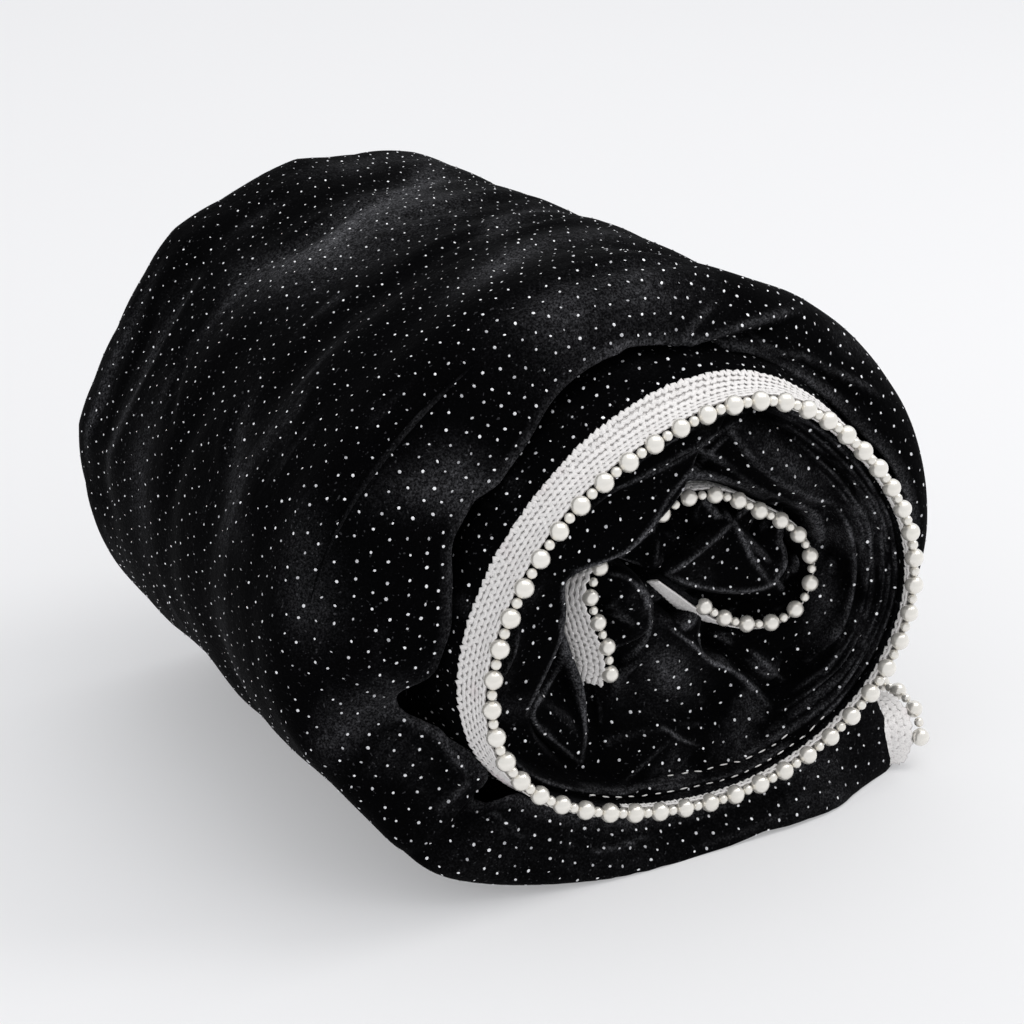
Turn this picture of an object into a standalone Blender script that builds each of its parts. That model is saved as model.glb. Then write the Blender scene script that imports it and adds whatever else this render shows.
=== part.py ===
"""Velvet dupatta, folded lengthwise and rolled loosely into a thick roll that lies on a flat surface.

The roll's axis is Y and its open spiral end faces -Y. Sizes are in millimetres until they are built.
Angles go anticlockwise from +X round the axis point of the sections, as seen from the open end.
"""
import math

import bmesh
import bpy
import numpy as np

MM = 0.001

# Where the middle of the whole part's footprint lies in the working frame.
SHIFT_X = 3.75
SHIFT_Y = -11.95

# The point that every section's angles are taken round.
AXIS_X = 8.0
AXIS_Z = 88.0

# Cloth and trim sizes.
WRAP_WALL = 2.8
PLY_WALL = 2.4
SEAM_GAP = 0.3
SEAT_GAP = 0.4
CORE_CLEAR = 2.1
CORE_REST_GAP = 0.5
TAPE_WIDTH = 12.8
TAPE_THICK = 0.9
PEARL_R = 3.0
SMALL_PEARL_R = 1.65
PEARL_PITCH = 9.6
PEARL_SIDES = 6

# Turns.
WRAP_COLUMNS = 56
CORE_COLUMNS = 34
EDGE_Y = -110.9
PEARL_Y = -115.0
TURN_BACK_Y = -66.0
BODY_BACK_Y = 78.0
BACK_ROUND = 13.0
BACK_DEPTH = 16.0
SECTION_POWER = 1.95
CORE_FACE_Y = -87.0
CORE_OUTER_FACE_Y = -79.0
FOLD_BACK_Y = CORE_FACE_Y - SEAT_GAP
LOOP_PLY_WALL = 1.6

# Outer turn's front lip: angle, radius, y, how far back its round shoulder reaches, forward bulge.
LIP_ROWS = (
    (0, 99.5, -104, 15, 0),
    (14, 94, -101, 16, 0),
    (28, 88, -97, 18, 0),
    (45, 83, -95, 20, 0),
    (65, 77, -94, 22, 0),
    (82, 77, -94, 26, 0),
    (100, 78, -93, 28, 0),
    (115, 73, -92, 32, 0),
    (130, 67, -92, 36, 0),
    (143, 68, -92, 38, 0),
    (155, 74, -93, 38, 0),
    (168, 72, -96, 38, 0),
    (181, 73, -98, 38, 0),
    (192, 79, -92, 34, 0),
    (200, 85, -86, 28, 0),
    (208, 84, -95, 22, 1),
    (218, 82, -104, 12, 3),
    (232, 79, -109, 6, 5),
    (250, 76.5, -110, 4, 6),
    (272, 77, -110, 4, 7),
    (290, 83, -110, 4, 7),
    (304, 88.5, -109, 5, 6),
    (316, 93, -107, 7, 4),
    (328, 95.5, -105, 11, 2),
    (342, 98.5, -104, 14, 0),
)

# Body sections: y, reach to the left, right, above and below the axis point, power of the lower half.
BODY_ROWS = (
    (-110, 119, 108, 97, 90.5, 2.30),
    (-75, 119, 107, 96.5, 90.5, 2.25),
    (-40, 115, 96, 94, 90.5, 2.15),
    (0, 112, 90, 92, 90.5, 2.05),
    (40, 110, 84, 90.5, 90.5, 2.0),
    (78, 108, 79, 89.5, 90.5, 1.95),
    (96, 108, 77, 88.5, 90.5, 1.95),
)

# Soft creases across the outer turn: y, angle, angle spread, depth, half width, skew in mm per degree.
CREASE_ROWS = (
    (-52, 75, 40, 2.6, 9, 0.10),
    (-58, 150, 30, 2.4, 9, -0.12),
    (-28, 120, 45, 2.2, 8, 0.08),
    (-2, 95, 40, 2.8, 9, -0.06),
    (8, 165, 35, 2.0, 8, 0.10),
    (30, 130, 45, 2.4, 8, 0.05),
    (48, 85, 35, 3.0, 8, -0.08),
    (62, 150, 40, 2.2, 8, 0.06),
    (-20, 200, 30, 1.8, 9, 0.05),
    (20, 20, 35, 2.4, 10, 0.10),
    (-60, 25, 25, 2.6, 9, 0.05),
)

# Second turn, the one that carries the long edge's border: angle, radius.
RING_ROWS = (
    (0, 87.6),
    (15, 80.4),
    (30, 74.2),
    (45, 70.6),
    (60, 67.7),
    (75, 63.7),
    (90, 59.3),
    (105, 56.6),
    (120, 56.1),
    (135, 57.1),
    (150, 59.1),
    (165, 62.4),
    (180, 67.1),
    (195, 71.5),
    (210, 73.7),
    (225, 72.9),
    (240, 70.8),
    (255, 70.0),
    (270, 71.6),
    (285, 75.4),
    (300, 80.6),
    (315, 86.4),
    (330, 91.1),
    (345, 91.9),
)
# The layers that end at the roll's back: share of the radius, y, ridge and dip in turn.
BACK_LAYERS = (
    (0.93, 91.5),
    (0.84, 86.0),
    (0.75, 91.0),
    (0.66, 85.5),
    (0.56, 91.0),
    (0.46, 85.5),
    (0.36, 90.5),
    (0.26, 85.5),
    (0.15, 90.0),
    (0.02, 87.0),
)
CREASE_LOOK = 6.0

RING_FLARE = 4.0
RING_FLARE_FROM = 105.0
RING_FLARE_TO = 215.0

# Folds inside the open end: x, z, front y, half thickness.
FOLDS = {
    "fold_left": (
        (35, 133, -98, 2.6),
        (21, 130, -102, 4.2),
        (7, 123, -104, 5.8),
        (-9, 114, -104, 6.4),
        (-23, 108, -104, 6.6),
        (-34, 102, -104, 6.0),
        (-37, 91, -104, 6.2),
        (-37, 79, -103, 6.2),
        (-40, 70, -102, 5.2),
        (-43, 61, -101, 4.2),
        (-40, 52, -100, 4.2),
        (-33, 46, -100, 4.0),
        (-28, 41, -99, 3.4),
    ),
    "fold_upper_right": (
        (43, 129, -100, 3.4),
        (53.5, 121.5, -103, 5.3),
        (63.5, 112.5, -104, 5.9),
        (71.5, 103, -103, 5.1),
        (76, 92, -102, 4.0),
        (78, 80, -101, 3.0),
    ),
    "fold_bottom": (
        (-14, 36, -98, 4.6),
        (-2, 34, -100, 6.4),
        (16, 33, -101, 7.4),
        (34, 36, -101, 7.4),
        (51, 44, -101, 6.4),
        (64, 55, -101, 5.0),
        (70, 64, -100, 3.4),
    ),
    "fold_lower_left": (
        (-25, 61, -94, 2.6),
        (-22, 54, -98, 4.0),
        (-20, 49, -98, 3.8),
        (-18, 45, -94, 2.4),
    ),
    "fold_tent": (
        (-2, 66, -94, 3.4),
        (9, 65, -99, 5.8),
        (21, 58, -100, 6.4),
        (32, 51, -98, 5.0),
        (43, 52, -95, 3.0),
    ),
    "fold_tongue": (
        (12, 93, -94, 2.0),
        (23, 92, -98, 5.2),
        (36, 91, -100, 8.4),
        (47, 87, -98, 6.0),
        (56, 83, -94, 2.6),
    ),
    "fold_rolled": (
        (-4, 97, -94, 2.6),
        (0, 90, -98, 5.4),
        (1, 81, -99, 5.6),
        (-1, 75, -95, 3.4),
    ),
}

# Thin plies that follow the second turn inside: first angle, last angle, inset, front y.
INNER_PLY = (48.0, 203.0, 7.6, -107.0)
RIGHT_PLY = (-44.0, 40.0, 6.8, -106.0)
INNER_PLY_HALF = 1.5
INNER_PLY_STATIONS = 22

# Inner turn's edge, the one with the small pearl loop: x, z, y of the pearls' centres.
LOOP_ROWS = (
    (9.9, 110.7, -99),
    (17.1, 114.0, -100),
    (27.1, 113.3, -100),
    (37.0, 109.3, -100),
    (45.2, 104.0, -100),
    (54.1, 98.4, -100),
    (61.4, 91.7, -100),
    (66.1, 83.7, -100),
    (67.0, 76.0, -100),
    (64.0, 68.4, -100),
    (56.1, 64.2, -100),
    (46.0, 64.9, -100),
    (35.5, 69.1, -100),
    (25.7, 76.2, -100),
)
LOOP_TAIL_ROWS = (
    (17.0, 82.0, -98),
    (9.0, 85.5, -95),
)
LOOP_STATIONS = 40

# Short end of the border that shows at the left: x, z, y of the pearls' centres.
END_ROWS = (
    (-12.4, 98.6, -99),
    (-16.2, 91.8, -100),
    (-13.4, 81.0, -100),
    (-9.6, 70.2, -100),
    (-9.0, 61.0, -100),
)
END_STATIONS = 14

# Outer end of the cloth, a rounded pad beside the roll's foot: y, reach, height, end roundness.
PAD_ROWS = (
    (-111.5, 99.5, 23.0),
    (-106, 100.5, 24.0),
    (-80, 101.0, 23.0),
    (-30, 99.0, 22.0),
    (30, 95.0, 21.0),
    (80, 90.0, 19.0),
    (86, 88.0, 17.5),
)
PAD_CLEAR = 3.2
PAD_CORNER = 9.0

# Border along the cloth's outer end: pearls' centre x, y, z and tape's inner edge x, y, z.
HEM_ROWS = (
    (103.5, -108.0, 3.2, 102.4, -100.6, 1.4),
    (109.6, -107.5, 10.2, 102.6, -101.0, 6.4),
    (111.2, -103.0, 16.0, 102.9, -99.5, 12.0),
    (111.8, -95.0, 18.5, 103.0, -93.0, 13.5),
    (112.6, -86.0, 17.5, 103.2, -85.0, 12.5),
    (112.0, -60.0, 17.0, 102.6, -60.0, 12.0),
    (109.5, -20.0, 16.0, 100.6, -20.0, 11.5),
    (106.0, 25.0, 15.0, 97.6, 25.0, 11.0),
    (101.5, 65.0, 14.0, 93.6, 65.0, 10.5),
    (98.5, 84.0, 13.0, 90.8, 84.0, 10.0),
)
HEM_STATIONS = 30

VELVET = ("velvet_black", (0.012, 0.012, 0.014), 0.85)
BRAID = ("braid_white", (0.82, 0.80, 0.80), 0.6)
PEARL = ("pearl_cream", (0.88, 0.84, 0.76), 0.22)


def clear_scene():
    for item in list(bpy.data.objects):
        bpy.data.objects.remove(item, do_unlink=True)


def material(spec):
    name, colour, roughness = spec
    found = bpy.data.materials.get(name)
    if found:
        return found
    made = bpy.data.materials.new(name)
    made.use_nodes = True
    shader = made.node_tree.nodes["Principled BSDF"]
    shader.inputs["Base Color"].default_value = (*colour, 1.0)
    shader.inputs["Roughness"].default_value = roughness
    shader.inputs["Metallic"].default_value = 0.0
    return made


def smooth(keys, values, at):
    """Smooth curve through the values at rising keys, with slopes taken from the neighbours."""
    keys = np.asarray(keys, float)
    values = np.asarray(values, float)
    slope = np.gradient(values, keys)
    at = np.clip(np.asarray(at, float), keys[0], keys[-1])
    span = np.clip(np.searchsorted(keys, at, side="right") - 1, 0, len(keys) - 2)
    width = keys[span + 1] - keys[span]
    t = (at - keys[span]) / width
    start = (1 + 2 * t) * (1 - t) ** 2 * values[span] + t * (1 - t) ** 2 * width * slope[span]
    end = t * t * (3 - 2 * t) * values[span + 1] + t * t * (t - 1) * width * slope[span + 1]
    return start + end


def around(rows, column, angles):
    """Smooth closed curve through a table whose first column is an angle in degrees."""
    keys = [row[0] for row in rows]
    values = [row[column] for row in rows]
    keys = [k - 360 for k in keys] + keys + [k + 360 for k in keys]
    return smooth(keys, values * 3, np.mod(angles, 360))


def along(rows, count):
    """Points at even spacing along a smooth path through the rows."""
    points = np.array(rows, float)
    steps = np.linalg.norm(np.diff(points[:, :3], axis=0), axis=1)
    keys = np.concatenate([[0], np.cumsum(steps)])
    at = np.linspace(0, keys[-1], count)
    return np.stack([smooth(keys, points[:, k], at) for k in range(points.shape[1])], -1)


def polar(angles, radius, y):
    """Points at an angle and radius round the axis point."""
    a = np.radians(angles)
    x = AXIS_X + radius * np.cos(a)
    z = AXIS_Z + radius * np.sin(a)
    return np.stack([x, np.broadcast_to(y, x.shape), z], -1)


def ring_radius(angles, y):
    flare = np.clip((y - EDGE_Y) / (TURN_BACK_Y - EDGE_Y), 0, 1) ** 2 * RING_FLARE
    a = np.mod(angles, 360)
    side = np.clip((a - RING_FLARE_FROM) / 25, 0, 1) * np.clip((RING_FLARE_TO - a) / 25, 0, 1)
    return around(RING_ROWS, 1, angles) + flare * side


def body_radius(angles, y):
    """Outer turn's radius at a y, creases included."""
    a = np.radians(angles)
    keys = [row[0] for row in BODY_ROWS]
    left, right, above, below, low = [smooth(keys, [row[k] for row in BODY_ROWS], y) for k in range(1, 6)]
    wide = np.where(np.cos(a) > 0, right, left)
    high = np.where(np.sin(a) > 0, above, below)
    power = np.where(np.sin(a) > 0, SECTION_POWER, low)
    whole = (np.abs(np.cos(a)) / wide) ** power + (np.abs(np.sin(a)) / high) ** power
    radius = whole ** (-1 / power)
    for crease_y, angle, spread, depth, half, skew in CREASE_ROWS:
        off = np.mod(angles - angle + 180, 360) - 180
        place = (y - crease_y - skew * off) / half
        radius = radius - depth * np.exp(-place ** 2 - (off / spread) ** 2)
    return radius


def shoulder_radius(angles, y):
    """Outer turn's radius at a y, its round shoulder behind the lip included."""
    lip_r = around(LIP_ROWS, 1, angles)
    lip_y = around(LIP_ROWS, 2, angles)
    depth = around(LIP_ROWS, 3, angles)
    share = np.clip((y - lip_y) / depth, 0, 1)
    rise = np.sqrt(1 - (1 - share) ** 2)
    body = body_radius(angles, np.maximum(y, lip_y + depth))
    return lip_r + (body - lip_r) * rise


def least_radius(angles, y):
    """The least of the outer turn's radii close to a y, which clears its creases."""
    return np.min([shoulder_radius(angles, y + look) for look in (-CREASE_LOOK, 0, CREASE_LOOK)], axis=0)


def wrap_surface(angles):
    """Outer face of the outer turn, a row of points for each angle from the lip to the back edge."""
    lip_r = around(LIP_ROWS, 1, angles)
    lip_y = around(LIP_ROWS, 2, angles)
    depth = around(LIP_ROWS, 3, angles)
    bulge = around(LIP_ROWS, 4, angles)
    rows = []
    for share in (0, 0.24, 0.48, 0.74):
        turn = share * math.pi / 2
        y = lip_y + depth * (1 - math.cos(turn)) - bulge * math.sin(share * math.pi)
        body = body_radius(angles, lip_y + depth)
        rows.append(polar(angles, lip_r + (body - lip_r) * math.sin(turn), y))
    start = lip_y + depth
    for share in np.linspace(0, 1, 12):
        y = start + (BODY_BACK_Y - start) * share
        rows.append(polar(angles, body_radius(angles, y), y))
    for share in (0.4, 0.72, 1):
        turn = share * math.pi / 2
        y = np.full_like(angles, BODY_BACK_Y + BACK_DEPTH * math.sin(turn))
        back = body_radius(angles, BODY_BACK_Y) - BACK_ROUND * (1 - math.cos(turn))
        rows.append(polar(angles, back, y))
    grid = np.array(rows)
    grid[..., 2] = np.maximum(grid[..., 2], 0)
    return grid


def outward(grid, closed):
    """Unit normals of a grid of rows and columns that point away from the axis point."""
    down = np.gradient(grid, axis=0)
    if closed:
        across = np.roll(grid, -1, axis=1) - np.roll(grid, 1, axis=1)
    else:
        across = np.gradient(grid, axis=1)
    normal = np.cross(down, across)
    normal /= np.linalg.norm(normal, axis=-1, keepdims=True)
    return normal


def shell_sections(grid, thick, closed, gap=0.0, flip=1.0):
    """Loops across a wall, one per column, that go along its outer face and back along its inner."""
    normal = outward(grid, closed) * flip
    outer = grid + normal * gap
    inner = grid + normal * (gap - thick)
    loops = []
    for k in range(grid.shape[1]):
        lead = grid[0, k] - grid[1, k]
        lead = lead / np.linalg.norm(lead) * abs(thick) * 0.35
        trail = grid[-1, k] - grid[-2, k]
        trail = trail / np.linalg.norm(trail) * abs(thick) * 0.35
        front = (outer[0, k] + inner[0, k]) / 2 + lead
        back = (outer[-1, k] + inner[-1, k]) / 2 + trail
        loops.append(np.concatenate([outer[:, k], [back], inner[::-1, k], [front]]))
    return loops


def strip_sections(grid, thick, closed, gap, flip=1.0):
    """Loops across a thin flat strip with square edges."""
    normal = outward(grid, closed) * flip
    near = grid + normal * gap
    far = grid + normal * (gap + thick)
    return [np.concatenate([far[:, k], near[::-1, k]]) for k in range(grid.shape[1])]


def loft(name, loops, spec, closed):
    """One closed body through equal loops of points."""
    mesh = bpy.data.meshes.new(name)
    shape = bmesh.new()
    shift = np.array([SHIFT_X, SHIFT_Y, 0.0])
    rings = [[shape.verts.new(tuple((p - shift) * MM)) for p in loop] for loop in loops]
    size = len(loops[0])
    count = len(loops)
    for k in range(count if closed else count - 1):
        here = rings[k]
        after = rings[(k + 1) % count]
        for m in range(size):
            n = (m + 1) % size
            shape.faces.new((here[m], here[n], after[n], after[m]))
    if not closed:
        for ring in (rings[0], rings[-1]):
            cap_loop(shape, ring)
    bmesh.ops.recalc_face_normals(shape, faces=shape.faces[:])
    bmesh.ops.triangulate(shape, faces=shape.faces[:], quad_method="SHORT_EDGE")
    shape.to_mesh(mesh)
    shape.free()
    made = bpy.data.objects.new(name, mesh)
    made.data.materials.append(material(spec))
    bpy.context.scene.collection.objects.link(made)
    return made


def cap_loop(shape, ring):
    """Close a loop whose two halves lie opposite each other."""
    size = len(ring)
    low = 0
    high = size - 1
    while high - low > 2:
        shape.faces.new((ring[low], ring[low + 1], ring[high - 1], ring[high]))
        low += 1
        high -= 1
    if high - low == 2:
        shape.faces.new((ring[low], ring[low + 1], ring[high]))


def path_frame(path):
    """Directions along a path and across it in the XZ plane."""
    go = np.gradient(path, axis=0)
    go[:, 1] = 0
    go /= np.linalg.norm(go, axis=1, keepdims=True)
    side = np.stack([-go[:, 2], go[:, 1] * 0, go[:, 0]], -1)
    return go, side


def fold_body(name, rows, stations, back_y=FOLD_BACK_Y):
    """A turned fold of cloth with a round front edge, whose back ends just off the hidden layers."""
    data = along(rows, stations)
    path = np.stack([data[:, 0], data[:, 2], data[:, 1]], -1)
    half = data[:, 3]
    side = path_frame(path)[1]
    loops = []
    for k in range(stations):
        loop = []
        nose = path[k] + np.array([0, half[k], 0])
        loop.append(path[k] * [1, 0, 1] + side[k] * half[k] * 0.8 + [0, back_y, 0])
        for turn in (90, 55, 20, -20, -55, -90):
            t = math.radians(turn)
            loop.append(nose + side[k] * half[k] * math.sin(t) - np.array([0, half[k] * math.cos(t), 0]))
        loop.append(path[k] * [1, 0, 1] - side[k] * half[k] * 0.8 + [0, back_y, 0])
        loops.append(np.array(loop))
    return loft(name, loops, VELVET, False)


def pearl_string(name, path, closed, count):
    """A string of large pearls with a small one between each two, on a closed or open path."""
    points = np.array(path, float)
    if closed:
        points = np.concatenate([points, points[:1]])
    steps = np.linalg.norm(np.diff(points, axis=0), axis=1)
    keys = np.concatenate([[0], np.cumsum(steps)])
    whole = keys[-1]
    pitch = whole / count if closed else whole / (count - 1)
    marks = []
    for k in range(count):
        middle = k * pitch
        for place, radius in ((-0.9, 0.46), (-0.4, 0.97), (0.4, 0.97), (0.9, 0.46)):
            marks.append((middle + place * PEARL_R, radius * PEARL_R))
        if closed or k < count - 1:
            marks.append((middle + pitch / 2, SMALL_PEARL_R))
    if not closed:
        marks = [(min(max(m[0], -2.7), whole + 2.7), m[1]) for m in marks]
    side = np.cross(points[1] - points[0], [0, 1, 0])
    loops = []
    for place, radius in marks:
        where = np.mod(place, whole) if closed else min(max(place, 0.0), whole)
        centre = np.array([np.interp(where, keys, points[:, k]) for k in range(3)])
        ahead = np.array([np.interp(min(where + 1, whole), keys, points[:, k]) for k in range(3)])
        behind = np.array([np.interp(max(where - 1, 0), keys, points[:, k]) for k in range(3)])
        go = ahead - behind
        go /= np.linalg.norm(go)
        if not closed:
            centre = centre + go * (min(place, 0) + max(place - whole, 0))
        side = side - go * np.dot(side, go)
        side /= np.linalg.norm(side)
        lift = np.cross(side, go)
        turns = [2 * math.pi * (m / PEARL_SIDES + 0.25) for m in range(PEARL_SIDES)]
        loops.append(np.array([centre + radius * (math.cos(t) * side + math.sin(t) * lift) for t in turns]))
    return loft(name, loops, PEARL, closed)


def build_wrap():
    angles = np.arange(WRAP_COLUMNS) * 360.0 / WRAP_COLUMNS
    loft("outer_wrap", shell_sections(wrap_surface(angles), WRAP_WALL, True), VELVET, True)


def ring_grid(rows):
    angles = np.arange(WRAP_COLUMNS) * 360.0 / WRAP_COLUMNS
    return np.array([polar(angles, ring_radius(angles, y), y) for y in rows])


def build_bordered_turn():
    grid = ring_grid((EDGE_Y, -99.0, -88.0, -77.0, TURN_BACK_Y))
    loft("bordered_turn", shell_sections(grid, PLY_WALL, True), VELVET, True)
    tape = ring_grid((EDGE_Y - 0.2, EDGE_Y - 0.2 + TAPE_WIDTH / 2, EDGE_Y - 0.2 + TAPE_WIDTH))
    loft("ring_tape", strip_sections(tape, TAPE_THICK, True, SEAM_GAP), BRAID, True)
    angles = np.linspace(0, 360, 240, endpoint=False)
    path = polar(angles, ring_radius(angles, EDGE_Y) - PLY_WALL / 2, PEARL_Y)
    round_length = np.linalg.norm(np.roll(path, -1, axis=0) - path, axis=1).sum()
    pearl_string("ring_pearls", path, True, int(round(round_length / PEARL_PITCH)))


def build_core():
    """Hidden layers as one rounded body, grooved for the second turn and layered at the back."""
    angles = np.arange(CORE_COLUMNS) * 360.0 / CORE_COLUMNS
    clear = WRAP_WALL + CORE_CLEAR
    inner = ring_radius(angles, EDGE_Y) - PLY_WALL - 2 * SEAT_GAP
    groove = ring_radius(angles, TURN_BACK_Y) + 2 * SEAT_GAP
    rows = [polar(angles, inner * share, CORE_FACE_Y) for share in (0.02, 0.5, 0.96)]
    for radius, y in (
        (inner, CORE_FACE_Y + 2.0),
        (inner, TURN_BACK_Y + 3.0),
        (groove, TURN_BACK_Y + 3.5),
        (groove, CORE_OUTER_FACE_Y + 1.0),
    ):
        rows.append(polar(angles, radius, y))
    for share, y in ((0.15, -79.0), (0.55, -81.0), (0.9, -79.0), (1.0, -74.0), (1.0, -62.0), (1.0, -50.0)):
        out = least_radius(angles, y) - clear
        rows.append(polar(angles, groove + (out - groove) * share, y))
    for y in (-38.0, -24.0, -10.0, 4.0, 18.0, 32.0, 46.0, 60.0, 72.0):
        rows.append(polar(angles, least_radius(angles, y) - clear, y))
    back = body_radius(angles, np.full_like(angles, BODY_BACK_Y))
    for inset, y in ((5.5, 80.0), (11.0, 85.0), (18.5, 86.5)):
        rows.append(polar(angles, back - inset, y))
    for share, y in BACK_LAYERS:
        rows.append(polar(angles, (back - 17.5) * share, y))
    loops = np.array(rows)
    loops[..., 2] = np.maximum(loops[..., 2], WRAP_WALL + CORE_REST_GAP)
    loft("roll_core", list(loops), VELVET, False)


def build_plies():
    for name, (first, last, inset, y) in (("ply_left", INNER_PLY), ("ply_right", RIGHT_PLY)):
        angles = np.linspace(first, last, 12)
        radius = ring_radius(angles, EDGE_Y) - inset
        path = polar(angles, radius, y)
        rows = [(p[0], p[2], p[1], INNER_PLY_HALF) for p in path]
        fold_body(name, rows, INNER_PLY_STATIONS)


def ply_and_tape(name, rows, stations, tail, tape_side):
    """An inner turn's thin edge and the tape sewn to one side of it, both set back behind the pearls."""
    path = along([(x, y, z) for x, z, y in rows + tail], stations)
    side = path_frame(path)[1] * tape_side
    front = path + np.array([0, PEARL_R + SEAM_GAP, 0])
    back = path * [1, 0, 1] + np.array([0, FOLD_BACK_Y, 0])
    half = LOOP_PLY_WALL / 2
    ply = np.array([front, (front + back) / 2, back])
    loft(name + "_turn", strip_sections(ply, LOOP_PLY_WALL, False, -half), VELVET, False)
    tape = np.array([front, back]) + side[None] * half
    loft(name + "_tape", tape_loops(tape, side), BRAID, False)


def tape_loops(grid, side):
    """Loops of a thin strip that stands off a ply on its outer side."""
    near = grid + side[None] * SEAM_GAP
    far = grid + side[None] * (SEAM_GAP + TAPE_THICK)
    return [np.concatenate([far[:, k], near[::-1, k]]) for k in range(grid.shape[1])]


def build_loop():
    ply_and_tape("loop", LOOP_ROWS, LOOP_STATIONS, LOOP_TAIL_ROWS, 1.0)
    pearl_string("loop_pearls", along([(x, y, z) for x, z, y in LOOP_ROWS], 80), False, 14)


def build_short_end():
    ply_and_tape("short", END_ROWS, END_STATIONS, (), -1.0)
    pearl_string("short_pearls", along([(x, y, z) for x, z, y in END_ROWS], 40), False, 5)


def build_pad():
    """Outer end of the cloth: a rounded pad that lies on the surface beside the roll's foot."""
    keys = [row[0] for row in PAD_ROWS]
    loops = []
    for y in (-111.5, -109.5, -106, -90, -60, -30, 0, 30, 60, 80, 86):
        reach = float(smooth(keys, [row[1] for row in PAD_ROWS], y))
        height = float(smooth(keys, [row[2] for row in PAD_ROWS], y))
        body_y = max(y, -95.0)
        turn = np.linspace(300, 322, 8)
        radius = body_radius(turn, np.full_like(turn, body_y)) + PAD_CLEAR
        upper = polar(turn, radius, y)
        upper[:, 2] = np.clip(upper[:, 2], 1.6, height - 1)
        lower = upper * [1, 1, 0]
        share = np.linspace(-80, 80, 7)
        mid = np.array([reach - height * 0.5, y, height * 0.5])
        nose = [mid + height * 0.5 * np.array([math.cos(math.radians(s)), 0, math.sin(math.radians(s))])
                for s in share]
        loop = np.concatenate([lower[:5], nose, upper[::-1][3:]])
        loops.append(loop)
    loft("end_pad", loops, VELVET, False)


def build_hem():
    rows = along([row for row in HEM_ROWS], HEM_STATIONS)
    pearls = rows[:, :3]
    inner = rows[:, 3:]
    across = inner - pearls
    across /= np.linalg.norm(across, axis=1, keepdims=True)
    outer = pearls + across * (PEARL_R + 2 * SEAM_GAP)
    go = np.gradient(pearls, axis=0)
    normal = np.cross(go, across)
    normal /= np.linalg.norm(normal, axis=1, keepdims=True)
    loops = []
    for k in range(HEM_STATIONS):
        lift = normal[k] * TAPE_THICK / 2
        loops.append(np.array([outer[k] + lift, inner[k] + lift, inner[k] - lift, outer[k] - lift]))
    loft("hem_tape", loops, BRAID, False)
    length = np.linalg.norm(np.diff(pearls, axis=0), axis=1).sum()
    pearl_string("hem_pearls", pearls, False, int(round(length / PEARL_PITCH)) + 1)


def build():
    clear_scene()
    build_wrap()
    build_bordered_turn()
    build_core()
    build_plies()
    for name, rows in FOLDS.items():
        fold_body(name, rows, 2 * len(rows))
    build_loop()
    build_short_end()
    build_pad()
    build_hem()


build()
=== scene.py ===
"""Black velvet dupatta with glitter dots and a pearl border, rolled up and lying on its side.

Tables and most lengths are in millimetres in a working frame, which built() turns into the row frame.
Angles are degrees anticlockwise from +X round the roll's axis point, seen from its open end.
"""
import math

import bmesh
import bpy
import numpy as np
from mathutils import Matrix, Vector, noise


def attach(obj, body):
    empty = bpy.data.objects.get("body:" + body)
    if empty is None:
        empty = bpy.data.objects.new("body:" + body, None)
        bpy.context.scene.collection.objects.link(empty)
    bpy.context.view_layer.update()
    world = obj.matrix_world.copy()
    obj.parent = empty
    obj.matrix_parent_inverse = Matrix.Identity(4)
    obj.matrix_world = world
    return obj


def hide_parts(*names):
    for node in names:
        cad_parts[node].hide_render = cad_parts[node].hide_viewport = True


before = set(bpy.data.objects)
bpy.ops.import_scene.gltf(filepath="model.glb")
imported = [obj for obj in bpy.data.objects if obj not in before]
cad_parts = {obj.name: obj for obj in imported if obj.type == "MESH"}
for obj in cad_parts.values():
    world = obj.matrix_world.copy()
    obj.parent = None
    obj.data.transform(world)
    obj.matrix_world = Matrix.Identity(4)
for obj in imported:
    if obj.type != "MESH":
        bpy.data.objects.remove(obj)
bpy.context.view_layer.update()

MM = 0.001
SHIFT = np.array([3.75, -11.95, 0.0])
AXIS_X = 8.0
AXIS_Z = 88.0

WRAP_WALL = 2.8
PLY_WALL = 2.4
TAPE_WIDTH = 12.8
PEARL_R = 3.0
SMALL_PEARL_R = 1.65
PEARL_COUNT = 47
EDGE_Y = -110.9
PEARL_Y = -115.0
TURN_BACK_Y = -66.0
BODY_BACK_Y = 78.0
BACK_ROUND = 13.0
BACK_DEPTH = 16.0
SECTION_POWER = 1.95
INNER_BACK_Y = -80.0
WRAP_ROWS = 172
EDGE_HALF = 0.8
MM_PER_DEGREE = 1.62
STITCH_GAP = 13
STITCH_CATCH = 3

CAMERA_TURN = 32.0
CAMERA_RISE = 24.0
CAMERA_REACH = 0.95
CAMERA_TARGET = (0.00625, -0.00205, 0.0792)
CAMERA_LENS = 102.2
CAMERA_SENSOR = 36.0

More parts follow.
